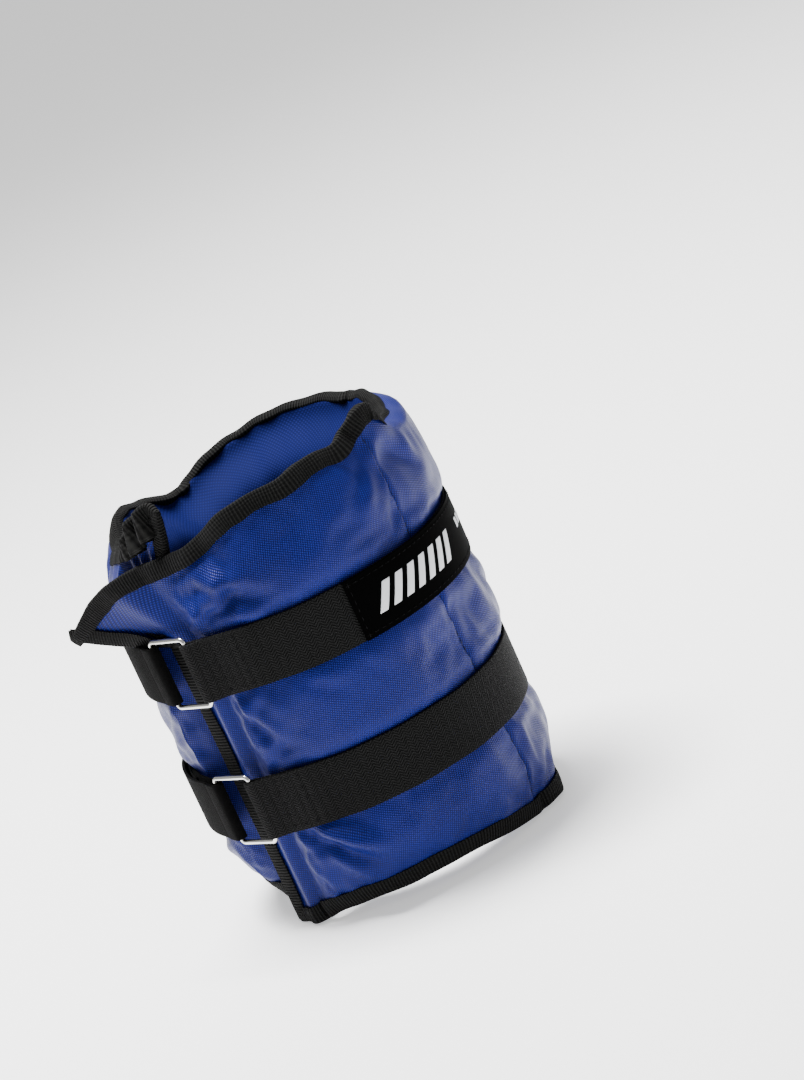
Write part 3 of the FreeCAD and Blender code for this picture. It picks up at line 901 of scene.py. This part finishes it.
@dataclass
class EdgeTape:
    """Ribbed tape folded over a cut edge of the wrap and sewn through."""

    width: float = 7.0
    stand: float = 0.55
    thick: float = 0.75
    wall: float = 3.4
    thin: float = 1.6
    seed: int = 3
    pitch: float = 1.0
    steady: float = 7.0
    past: float = 0.9

    def section(self, walls: Array, wider: Array) -> Array:
        """Outline of the folded tape: over the edge and down both sides, wavering along its length.

        Args:
            walls: thickness of the wall inside the tape at each station.
            wider: how much wider than usual the tape is at each station.

        Returns:
            Outlines of shape (stations, corners, 2): out of the cloth's face, and away from its edge.
        """
        turn = np.radians(np.linspace(0.0, 180.0, 9))
        place = np.arange(len(walls)) * self.pitch
        end = np.minimum(place, place[-1] - place)
        pinch = 0.6 + 0.4 * smooth(end, 0.0, 5.0)
        short = 0.6 + 0.4 * smooth(end, 0.0, 12.0)
        outer_leg = (-self.width - wider + Waviness(self.seed, 0.45, 50, 9).at(place)) * short
        crown = 1.1 + Waviness(self.seed + 1, 0.25, 40, 10).at(place)
        rows = []
        halves = walls / 2.0 + self.thick
        middles = self.stand + self.thick - halves
        for leg, top, half, middle in zip(outer_leg, crown, halves, middles):
            over = [(middle + half * math.cos(a), top * math.sin(a) ** 0.8 - 0.3) for a in turn]
            inner_half = half - self.thick
            under = [(middle + inner_half * math.cos(a), (top - 0.6) * math.sin(a) - 0.5) for a in turn[::-2]]
            outside = [(middle + half - 0.25, leg), (middle + half, leg + 1.2),
                       (middle + half + 0.15, leg / 2.0)]
            inside = [(middle - half - 0.1, leg / 2.0), (middle - half, leg + 0.4)]
            back_in = [(middle - inner_half, leg + 0.4), (middle - inner_half, leg / 2.0)]
            back_out = [(middle + inner_half, leg / 2.0), (middle + inner_half + 0.1, leg)]
            rows.append(outside + over + inside + back_in + under + back_out)
        rows = np.array(rows)
        rows[..., 0] = middles[:, None] + (rows[..., 0] - middles[:, None]) * pinch[:, None]
        return rows

    def evened(self, rows: Array) -> Array:
        """Values averaged along the tape over a stretch of steady millimetres."""
        reach = int(round(1.5 * self.steady / self.pitch))
        weight = np.exp(-(np.arange(-reach, reach + 1) * self.pitch / self.steady * 2.0) ** 2)
        padded = np.pad(rows, ((reach, reach), (0, 0)), mode="edge")
        return np.stack([np.convolve(padded[:, k], weight / weight.sum(), "valid") for k in range(3)], 1)

    def along_edge(self, name: str, edge: Array, inner: Array, flip: float, walls: Array,
                   wider: Array) -> bpy.types.Object:
        """Fold the tape along one edge.

        Args:
            name: the CAD node that the piece stands for.
            edge: places on the cut edge, in order.
            inner: places in the cloth just inside it, one for each.
            flip: +1 or -1, which makes the section's first coordinate point out of the cloth's outer face.
            walls: thickness of the wall at each place.
            wider: how much wider than usual the tape is there.

        Returns:
            The piece.
        """
        tangent = unit(np.gradient(edge, axis=0))
        away = self.evened(unit(edge - inner))
        away = unit(away - (away * tangent).sum(1, keepdims=True) * tangent)
        face = unit(np.cross(tangent, away)) * flip
        obj = sweep(name + "_tape", edge, face, away, self.section(walls, wider))
        finish_piece(obj, FINISHES.of(BLACK_GROSGRAIN), 50.0)
        place(obj, "cuff", "binding_tape", name)
        return obj


def resample(path: Array, others: Sequence[Array], pitch: float) -> list[Array]:
    """Evenly spaced places on a path, with the matching places of other paths.

    Args:
        path: places that set the spacing.
        others: paths with as many places.
        pitch: distance between the new places.

    Returns:
        The new path, then the others.
    """
    length = along(path[:, None], 0)[:, 0]
    at = np.linspace(0.0, length[-1], max(3, int(length[-1] / pitch)))
    return [np.stack([np.interp(at, length, p[:, k]) for k in range(3)], 1) for p in (path, *others)]


@dataclass
class Bindings:
    """All four edge tapes of the wrap."""

    inset: int = 4

    def build(self, cloth: Array, marks: Array) -> None:
        """Fold the tapes over the edges of the cover's unfilled cloth.

        Args:
            cloth: places of the cover, shape (columns, rows, 3).
            marks: angle of each column.
        """
        inset = self.inset
        jobs = (("top_binding", cloth[:, -1], cloth[:, -1 - inset], 1.0, 3),
                ("bottom_binding", cloth[:, 0], cloth[:, inset], -1.0, 13),
                ("ring_end_binding", cloth[0], cloth[inset], 1.0, 23),
                ("tail_end_binding", cloth[-1], cloth[-1 - inset], -1.0, 33))
        for name, edge, inner, flip, seed in jobs:
            tape = EdgeTape(seed=seed)
            if edge.shape[0] == len(marks):
                padded = smooth(marks, 9.0, 14.0) * (1.0 - smooth(marks, 340.0, 345.0))
                walls = tape.thin + (tape.wall - tape.thin) * padded
                wider = 5.0 * smooth(marks, 344.0, 352.0) * (edge[:, 2] > 0.0)
            else:
                walls = np.full(len(edge), tape.thin)
                wider = np.zeros(len(edge))
            first = edge[:1] - tape.past * unit(edge[1:2] - edge[:1])
            last = edge[-1:] + tape.past * unit(edge[-1:] - edge[-2:-1])
            edge = np.concatenate([first, edge[1:-1], last])
            sizes = np.stack([walls, wider, wider], 1)
            path, inside, sizes = resample(edge, [inner, sizes], tape.pitch)
            tape.along_edge(name, path, inside, flip, sizes[:, 0], sizes[:, 1])
            LOG.info("%s: %d stations", name, len(path))


@dataclass
class LegSide:
    """Lining against the leg and the foam behind it."""

    row_count: int = 44
    lining_thick: float = 0.7
    foam_thick: float = 2.6
    wall: float = 3.3

    def surface(self, start: float, end: float, shift: float, margin: float) -> Array:
        """Leg side of the wall.

        Args:
            start: first angle.
            end: last angle.
            shift: how far outside the lining.
            margin: how far short of the cut edges it stops.

        Returns:
            Places of shape (columns, rows, 3), whose faces look at the leg.
        """
        angle = np.arange(start, end + 0.01, 2.4)[:, None]
        share = np.linspace(0.0, 1.0, self.row_count)[None, ::-1]
        angle, share = np.broadcast_arrays(angle, share)
        low, high = WRAP.heights(angle, 0.0 * share), WRAP.heights(angle, 0.0 * share + 1.0)
        height = low + margin + (high - low - 2.0 * margin) * share
        flare = smooth(np.abs(height) / np.where(height > 0.0, high, -low), 0.72, 0.97)
        quilt = 0.35 * np.sin(np.radians(angle) * 22.0) * np.sin(height / 7.0)
        out = through(WRAP.rim, angle) - self.wall - WRAP.leg
        radius = WRAP.leg + 0.5 + out * flare ** 1.2 + quilt * (1.0 - flare)
        for seam in WRAP.seams:
            radius = radius + 0.9 * np.exp(-((angle - seam) / 1.6) ** 2) * (1.0 - flare)
        ring = WRAP.ring_strip - 2.6 + 0.0 * radius
        tail = WRAP.tail_strip - 2.2 + 0.0 * radius
        begin = smooth(angle, 9.5, 15.0)
        finish = 1.0 - smooth(angle, 339.0, 345.0)
        radius = np.where(angle < 180.0, ring + (radius - ring) * begin, tail + (radius - tail) * finish)
        return polar(radius + shift, angle, height)

    def build(self) -> None:
        """Make the lining and the foam."""
        lining = self.surface(WRAP.ring_edge + 1.0, WRAP.tail_edge - 1.0, 0.0, 1.5)
        foam = self.surface(17.0, 337.0, 1.3, 7.0)
        jobs = (("lining", lining, self.lining_thick, BLUE_LINING, "lining_cloth"),
                ("foam_pad", foam, self.foam_thick, GREY_FOAM, "foam"))
        for name, points, thick, finish, slot in jobs:
            obj = sheet(name + "_sheet", points, lay_lengths(points))
            apply_modifier(obj, "SOLIDIFY", thickness=thick * MM, offset=-1.0)
            apply_modifier(obj, "SUBSURF", levels=1, render_levels=1)
            finish_piece(obj, FINISHES.of(finish), 50.0)
            place(obj, "cuff", slot, name)
            LOG.info("%s: %d faces", name, len(obj.data.polygons))


@dataclass
class SandPocket:
    """One closed bag of iron sand inside the wrap."""

    number: int
    start: float
    end: float
    half: float = 61.0
    inner: float = 48.6
    outer: float = 64.0

    def pillow(self, name: str, inset: float) -> bpy.types.Object:
        """Rounded closed bag bent round the leg.

        Args:
            name: the piece's name.
            inset: how far inside the bag's outside it lies.

        Returns:
            The mesh object.
        """
        deselect()
        bpy.ops.mesh.primitive_cube_add(size=2.0)
        obj = bpy.context.active_object
        obj.name = obj.data.name = name
        bpy.ops.object.mode_set(mode="EDIT")
        bpy.ops.mesh.subdivide(number_cuts=17, smoothness=0.0)
        bpy.ops.object.mode_set(mode="OBJECT")
        x, y, z = get_points(obj).T
        crown = np.sqrt(np.clip(1.0 - np.abs(x) ** 4, 0.03, 1.0))
        crown = crown * np.sqrt(np.clip(1.0 - np.abs(z) ** 5, 0.03, 1.0))
        middle, deep = (self.inner + self.outer) / 2.0, (self.outer - self.inner) / 2.0 - inset
        turn = math.degrees(inset / middle)
        sag = 1.0 - 0.12 * z
        angle = (self.start + self.end) / 2.0 + x * ((self.end - self.start) / 2.0 - turn)
        radius = middle + y * deep * crown * sag + 0.3 * np.sin(angle * 0.9) * np.cos(z * 9.0)
        set_points(obj, polar(radius, angle, z * (self.half - inset)) * MM)
        apply_modifier(obj, "SUBSURF", levels=1, render_levels=1)
        activate(obj)
        bpy.ops.object.mode_set(mode="EDIT")
        bpy.ops.mesh.select_all(action="SELECT")
        bpy.ops.mesh.normals_make_consistent(inside=False)
        bpy.ops.object.mode_set(mode="OBJECT")
        return obj

    def build(self) -> None:
        """Make the bag and the sand in it."""
        jobs = (("sand_pouch_%d" % self.number, 0.0, POUCH_FILM, "pouch_film"),
                ("sand_fill_%d" % self.number, 1.0, IRON_SAND, "sand"))
        for name, inset, finish, slot in jobs:
            obj = self.pillow(name + "_pillow", inset)
            finish_piece(obj, FINISHES.of(finish), 60.0)
            place(obj, "cuff", slot, name)


# ---------------------------------------------------------------- straps, tails and rings

class Side(Enum):
    """Which of the two closures a strap belongs to."""

    UPPER = "upper"
    LOWER = "lower"

    @property
    def height(self) -> float:
        """Height of the strap's middle."""
        return WRAP.strap_heights[0] if self is Side.UPPER else WRAP.strap_heights[1]


@dataclass(frozen=True)
class ClosureLine:
    """Where webbing and tape run through a closure, seen along the leg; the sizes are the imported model's."""

    ring_half: float = 10.0
    ring_y: float = -70.4
    loop: float = 1.2
    tape: float = 1.3
    under: float = 67.8
    over: float = 69.15
    flap: float = 71.2
    loop_start: float = 7.9
    settle: float = 16.0

    def loop_line(self, side: float) -> Array:
        """Middle of the tape as it turns round a wire: side +1 for the strap's, -1 for the tail's."""
        turn = np.radians(np.linspace(-90.0, 90.0, 13))
        r = self.loop + self.tape / 2.0
        x = side * self.ring_half - side * r * np.cos(turn)
        return np.stack([x, self.ring_y - r * np.sin(turn)], 1)

    def top_line(self, angle: Array, rest: float) -> Array:
        """Middle radius of the strand outside a wire, which comes down to rest."""
        start = math.hypot(self.ring_half, self.ring_y - self.loop)
        return start + (rest - start) * smooth(np.abs(angle), self.loop_start, self.settle) + self.tape / 2.0

    def under_line(self, angle: Array) -> Array:
        """Middle radius of the strand that passes under a wire."""
        start = math.hypot(self.ring_half, self.ring_y + self.loop + self.tape)
        return start + (self.under - start) * smooth(np.abs(angle), self.loop_start, 13.5) + self.tape / 2.0


LINE = ClosureLine()


def arc_places(radius: Callable[[Array], Array], start: float, end: float, step: float = 1.5) -> Array:
    """Places of a strand in plan, from one angle to another."""
    angle = np.linspace(start, end, max(3, int(abs(end - start) / step)))
    return polar(radius(angle), angle, 0.0)[:, :2]


@dataclass
class FlatTape:
    """A flat tape that stands on edge along a line in plan."""

    height: float
    width: float = 25.0
    thick: float = 1.3
    seed: int = 1
    waver: float = 0.25
    rows: int = 9
    held: str = "laid"
    rests: str = "outer_panel"

    def points(self, plan: Array) -> Array:
        """Middle surface of the tape.

        Args:
            plan: x and y of each station.

        Returns:
            Places of shape (stations, rows, 3).
        """
        place = along(plan[:, None], 0)[:, 0]
        drift = Waviness(self.seed, self.waver, 90, 25).at(place)
        across = np.linspace(-self.width / 2.0, self.width / 2.0, self.rows)
        z = self.height + drift[:, None] + across[None]
        return np.concatenate([np.broadcast_to(plan[:, None], z.shape + (2,)), z[..., None]], -1)

    def build(self, name: str, plan: Array, finish: WovenFinish | FuzzyFinish, rounding: float = 0.3,
              end_cut: float = 0.0) -> bpy.types.Object:
        """Make the tape as a solid with rounded edges.

        Args:
            name: the piece's name.
            plan: x and y of each station.
            finish: its finish.
            rounding: radius of its edges.
            end_cut: how far the last station's corners are trimmed, for a rounded end.

        Returns:
            The piece.
        """
        points = self.points(plan)
        if end_cut:
            far = along(plan[:, None], 0)[-1, 0] - along(plan[:, None], 0)[:, 0]
            half = self.width / 2.0
            keep = half - end_cut * (1.0 - np.sqrt(np.clip(1.0 - (1.0 - far / end_cut) ** 2, 0, 1)))
            keep = np.where(far < end_cut, keep, half)
            points[..., 2] = self.height + (points[..., 2] - self.height) * (keep / half)[:, None]
        obj = sheet(name, points, lay_lengths(points))
        apply_modifier(obj, "SOLIDIFY", thickness=self.thick * MM, offset=0.0)
        apply_modifier(obj, "BEVEL", width=rounding * MM, segments=2, limit_method="ANGLE",
                       angle_limit=math.radians(50.0))
        return finish_piece(obj, FINISHES.of(finish), 35.0)


@dataclass
class StitchRow:
    """Thread stitches laid along a line on a surface."""

    name: str
    length: float = 2.3
    gap: float = 1.3
    thick: float = 0.42

    def one(self) -> bpy.types.Object:
        """A single stitch: a short thread with sunk ends."""
        deselect()
        bpy.ops.mesh.primitive_cube_add(size=1.0)
        obj = bpy.context.active_object
        bpy.ops.object.mode_set(mode="EDIT")
        bpy.ops.mesh.select_all(action="SELECT")
        bpy.ops.transform.resize(value=(self.length * MM, self.thick * MM, self.thick * MM))
        bpy.ops.mesh.subdivide(number_cuts=1)
        bpy.ops.mesh.bevel(offset=0.1 * MM, segments=1)
        bpy.ops.object.mode_set(mode="OBJECT")
        points = get_points(obj)
        points[:, 2] -= 0.9 * self.thick * MM * (np.abs(points[:, 0]) / (0.5 * self.length * MM)) ** 3
        set_points(obj, points)
        return obj

    def build(self, lines: Iterable[tuple[Array, Array]], finish: FuzzyFinish) -> bpy.types.Object:
        """Lay stitches along several lines.

        Args:
            lines: pairs of places and outward directions, in order along each line.
            finish: the thread's finish.

        Returns:
            All the stitches as one piece, each with its own mesh part.
        """
        model = self.one()
        shape = get_points(model)
        corners = [list(p.vertices) for p in model.data.polygons]
        places, faces = [], []
        for path, outward in lines:
            path, outward = resample(path, [outward], self.length + self.gap)
            tangent = unit(np.gradient(path, axis=0))
            up = unit(outward)
            side = unit(np.cross(up, tangent))
            for k in range(len(path)):
                base = len(places) * len(shape)
                turned = shape[:, :1] * tangent[k] + shape[:, 1:2] * side[k]
                turned = turned + shape[:, 2:] * np.cross(tangent[k], side[k])
                places.append(turned + path[k] * MM)
                faces.extend([[base + c for c in corner] for corner in corners])
        bpy.data.objects.remove(model)
        mesh = bpy.data.meshes.new(self.name)
        mesh.from_pydata(np.concatenate(places).tolist(), [], faces)
        obj = bpy.data.objects.new(self.name, mesh)
        bpy.context.collection.objects.link(obj)
        return finish_piece(obj, FINISHES.of(finish), 60.0)


@dataclass
class Closure:
    """One strap with its wire ring, its pull tail and what is sewn to them."""

    side: Side
    sewn: float = -84.7
    split: float = 13.7
    flap_end: float = -78.0
    loop_radius: float = 69.6
    hook_radius: float = 70.8

    def name(self, part: str) -> str:
        """Name of one of this closure's pieces."""
        return self.side.value + "_" + part

    def strap(self) -> None:
        """Webbing: folded back end, turn round the wire, and the long run round the wrap."""
        def outer(angle: Array) -> Array:
            """Radius of the long run, which sinks from over the wire to the wrap."""
            return LINE.top_line(angle, LINE.over) + (LINE.under - LINE.over) * smooth(angle, 27.0, 36.0)
        plan = np.concatenate([arc_places(LINE.under_line, 26.0, 9.0), LINE.loop_line(1.0),
                               arc_places(outer, 9.0, 360.0 + self.sewn - 0.2)])
        obj = FlatTape(self.side.height, seed=41 if self.side is Side.UPPER else 47).build(
            self.name("strap_webbing"), plan, BLACK_WEBBING)
        place(obj, "cuff", "webbing", self.name("strap"))
        LOG.info("%s: %d faces", obj.name, len(obj.data.polygons))

    def blended(self, obj: bpy.types.Object) -> None:
        """Bake a piece's transform into its mesh."""
        z = self.side.height * MM
        start, end = polar(69.0, -44.0, 0.0) * MM, polar(69.0, -self.split - 0.6, 0.0) * MM
        self.name("ring")
        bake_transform(obj)

    def tail(self) -> None:
        """Brushed tape: the base on the wrap, the fold round the free wire, and the flap."""
        tape = FlatTape(self.side.height, thick=1.2, waver=0.15, seed=61)
        base_plan = arc_places(lambda a: LINE.under + 0.65 + 0.0 * a, self.sewn, -self.split)
        base = tape.build(self.name("tail_base_tape"), base_plan, LOOP_NAP)
        self.blended(base)
        fold_plan = np.concatenate([arc_places(LINE.under_line, -self.split, -9.0), LINE.loop_line(-1.0),
                                    arc_places(lambda a: LINE.top_line(a, LINE.flap), -9.0, -self.split)])
        turned = replace(tape, held="folded", rests=self.name("ring_wire"))
        fold = turned.build(self.name("tail_fold_tape"), fold_plan, LOOP_NAP)
        flap_plan = arc_places(lambda a: LINE.top_line(a, LINE.flap), -self.split, self.flap_end)
        flap = replace(tape, rests=self.name("loop_patch")).build(
            self.name("tail_flap_tape"), flap_plan, LOOP_NAP, end_cut=7.0)
        half = tape.width - 2.0
        loop = FlatTape(self.side.height, half, 0.7, waver=0.0, rests=self.name("tail_base")).build(
            self.name("loop_patch_tape"),
            arc_places(lambda a: self.loop_radius + 0.0 * a, self.sewn + 5.0, -26.0), LOOP_NAP)
        self.blended(loop)
        hook = FlatTape(self.side.height, half, 0.6, waver=0.0, rests=self.name("tail_flap")).build(
            self.name("hook_patch_tape"),
            arc_places(lambda a: self.hook_radius + 0.0 * a, self.flap_end + 3.0, -46.0), HOOK_STUBBLE)
        jobs = ((base, "", "tail_tape", "tail_base"), (fold, "ring", "tail_tape", "tail_fold"),
                (flap, "tail", "tail_tape", "tail_flap"), (loop, "", "tail_tape", "loop_patch"),
                (hook, "tail", "hook_tape", "hook_patch"))
        for obj, body, slot, node in jobs:
            place(obj, body and self.name(body), slot, self.name(node))

    def ring(self) -> None:
        """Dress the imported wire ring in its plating."""
        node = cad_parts[self.name("ring_wire")]
        node.data.materials.clear()
        node.data.materials.append(FINISHES.of(PlatedFinish()))

    def stitch_lines(self) -> list[tuple[Array, Array]]:
        """Box of stitches that sews the strap to its folded-back end."""
        lines = []
        radius = LINE.over + LINE.tape + 0.1
        half, first, last = 10.0, 17.0, 25.3
        for angle in (first, last):
            z = np.linspace(-half, half, 12) + self.side.height
            lines.append((polar(radius, angle, z), polar(1.0, angle, 0.0 * z)))
        for z in (-half, half):
            angle = np.linspace(first, last, 8)
            lines.append((polar(radius, angle, z + self.side.height), polar(1.0, angle, 0.0)))
        return lines

    def build(self) -> None:
        """Make every piece of the closure."""
        self.strap()
        self.tail()
        self.ring()
        LOG.info("%s closure built", self.side.value)


@dataclass
class WovenLabel:
    """Satin label sewn over the upper strap, with a plain woven mark in place of any name."""

    start: float = 64.0
    end: float = 150.0
    radius: float = 69.5
    thick: float = 0.4

    def patch(self, name: str, angle: tuple[float, float], low: float, high: float, lean: float, lift: float,
              finish: WovenFinish) -> bpy.types.Object:
        """Curved rectangle on the label, which may lean.

        Args:
            name: the piece's name.
            angle: first and last angle.
            low: lowest height from the strap's middle.
            high: highest height.
            lean: degrees by which its top is ahead of its foot.
            lift: how far it stands off the label's own radius.
            finish: its finish.

        Returns:
            The mesh object.
        """
        across = np.linspace(0.0, 1.0, 11)[None]
        count = max(3, int(abs(angle[1] - angle[0]) / 1.5))
        turn = np.linspace(*angle, count)[:, None] + lean * (across - 0.5)
        edge = 0.25 * np.sin(np.pi * across) ** 0.5
        z = Side.UPPER.height + low + (high - low) * across + 0.0 * turn
        points = polar(self.radius + lift + edge, turn, z)
        obj = sheet(name, points, lay_lengths(points))
        apply_modifier(obj, "SOLIDIFY", thickness=self.thick * MM, offset=0.0)
        apply_modifier(obj, "BEVEL", width=0.1 * MM, segments=1, limit_method="ANGLE", angle_limit=0.8)
        return finish_piece(obj, FINISHES.of(finish), 35.0)

    def build(self) -> None:
        """Make the label, its border stitches and its mark."""
        body = self.patch("label_satin", (self.start, self.end), -12.6, 12.6, 0.0, 0.15, LABEL_SATIN)
        lines = []
        for z in (-10.6, 10.6):
            angle = np.linspace(self.start + 1.6, self.end - 1.6, 60)
            lines.append((polar(self.radius + 0.6, angle, Side.UPPER.height + z), polar(1.0, angle, 0.0)))
        for angle in (self.start + 1.6, self.end - 1.6):
            z = np.linspace(-10.6, 10.6, 12)
            lines.append((polar(self.radius + 0.65, angle, Side.UPPER.height + z),
                          polar(1.0, angle, 0.0 * z)))
        border = StitchRow("label_border_stitches", 1.9, 1.1, 0.32).build(lines, BLACK_THREAD)
        jobs = (("label_bar_%d", 7, 74.0, 5.6, 3.2, -5.5, 5.5, 5.0),
                ("label_pip_%d", 3, 124.0, 4.2, 2.2, 0.5, 4.5, 0.0))
        marks = []
        for name, count, first, step, wide, low, high, lean in jobs:
            for k in range(count):
                at = first + step * k
                marks.append(self.patch(name % (k + 1), (at, at + wide), low, high, lean, 0.42, LABEL_YARN))
        place(body, "cuff", "label_satin", "label")
        place(border, "cuff", "thread")
        for obj in marks:
            place(obj, "cuff", "label_satin")
        LOG.info("label with %d woven marks", len(marks))


def sewing(cloth: Array) -> None:
    """Lay the stitches of the strap boxes and of the pocket seams.

    Args:
        cloth: places of the cover; not used.
    """
    boxes = [line for side in Side for line in Closure(side).stitch_lines()]
    straps = StitchRow("strap_box_stitches").build(boxes, BLACK_THREAD)
    lines = []
    for seam in WRAP.seams:
        share = np.linspace(0.06, 0.94, 80)
        angle = seam + 0.0 * share
        shape = WRAP.outside(angle, share)
        lines.append((polar(shape[:, 0] - 0.55, WRAP.seam_angle(seam, shape[:, 1]), shape[:, 1]),
                      polar(1.0, angle, 0.0 * share)))
    seams = StitchRow("pocket_seam_stitches", 2.7, 0.5, 0.55).build(lines, NAVY_THREAD)
    place(straps, "cuff", "thread", "strap_stitching")
    place(seams, "cuff", "thread", "seam_stitching")
    LOG.info("stitching laid")


# ---------------------------------------------------------------- studio

@dataclass(frozen=True)
class Studio:
    """Pale floor, soft lights and the camera."""

    azimuth: float = 51.0
    elevation: float = 16.5
    roll: float = -24.7
    distance: float = 1.4
    lens: float = 116.3
    off_right: float = -0.0214
    off_up: float = -0.0323
    air: float = 0.45
    floor_glow: float = 0.55

    def axes(self) -> tuple[Vector, Vector, Vector]:
        """Right, up and back directions of a camera that looks straight at the cuff."""
        a, e, roll = (math.radians(v) for v in (self.azimuth, self.elevation, self.roll))
        back = Vector((math.sin(a) * math.cos(e), -math.cos(a) * math.cos(e), math.sin(e)))
        right = Vector((math.cos(a), math.sin(a), 0.0))
        up = back.cross(right)
        cosine, sine = math.cos(roll), math.sin(roll)
        return right * cosine + up * sine, up * cosine - right * sine, back

    def camera(self) -> None:
        """Place the camera, leaning as the view does, with the cuff low and to the left."""
        right, up, back = self.axes()
        place = back * self.distance
        z = (back + right * self.off_right + up * self.off_up).normalized()
        x = (right - z * right.dot(z)).normalized()
        y = z.cross(x)
        data = bpy.data.cameras.new("view")
        data.lens = self.lens
        data.sensor_width = 36.0
        cam = bpy.data.objects.new("view", data)
        cam.matrix_world = Matrix.Translation(place) @ Matrix((x, y, z)).transposed().to_4x4()
        bpy.context.collection.objects.link(cam)
        bpy.context.scene.camera = cam

    def light(self, name: str, place: Vector, size: float, watts: float) -> None:
        """Large soft lamp aimed at the cuff."""
        data = bpy.data.lights.new(name, "AREA")
        data.shape = "SQUARE"
        data.size = size
        data.energy = watts
        lamp = bpy.data.objects.new(name, data)
        lamp.matrix_world = Matrix.Translation(place) @ place.to_track_quat("Z", "Y").to_matrix().to_4x4()
        bpy.context.collection.objects.link(lamp)

    def build(self) -> None:
        """Set up the floor, the world, the lamps and the camera."""
        deselect()
        floor_z = CAD_BOX[0][2] - 0.0004
        bpy.ops.mesh.primitive_plane_add(size=12.0)
        floor = bpy.context.active_object
        floor.data.transform(Matrix.Translation((0.0, 0.0, floor_z)))
        floor.name = "studio_floor"
        mat, tree = new_material("pale_studio_paper")
        grain = add_node(tree, "TexNoise", {"Scale": 3.0})
        tone = add_node(tree, "MapRange", {"Value": grain.outputs[0], "To Min": 0.86, "To Max": 0.9})
        close_material(tree, add_node(tree, "BsdfPrincipled", {
            "Base Color": tone.outputs[0], "Roughness": 0.9, "Emission Color": (1.0, 1.0, 1.0, 1.0),
            "Emission Strength": self.floor_glow}))
        floor.data.materials.append(mat)
        world = bpy.data.worlds.new("studio_air")
        world.use_nodes = True
        world.node_tree.nodes["Background"].inputs["Color"].default_value = (1.0, 1.0, 1.0, 1.0)
        world.node_tree.nodes["Background"].inputs["Strength"].default_value = self.air
        bpy.context.scene.world = world
        right, up, back = self.axes()
        self.light("key", back * 0.22 - right * 0.72 + up * 1.1, 0.5, 80.0)
        self.light("fill", back * 0.8 + right * 1.1 + up * 0.2, 0.9, 2.5)
        self.light("rim", Vector((-0.8, 0.9, 1.2)), 0.8, 10.0)
        self.camera()


def main() -> None:
    """Build the cuff, piece by piece, and its studio."""
    logging.basicConfig(level=logging.INFO, format="%(name)s: %(message)s")
    Studio().build()
    cover, cloth = OuterCover().build()
    LOG.info("outer cover: %d faces", len(cover.data.polygons))
    Bindings().build(cloth, OuterCover().columns())
    LegSide().build()
    inside, beside = 5.0, 3.0
    edges = (WRAP.pocket_start + inside,) + WRAP.seams + (WRAP.pocket_end - inside,)
    for number in range(1, len(edges)):
        SandPocket(number, edges[number - 1] + beside, edges[number] - beside).build()
    for side in Side:
        Closure(side).build()
    WovenLabel().build()
    sewing(cloth)


if __name__ == "__main__":
    main()
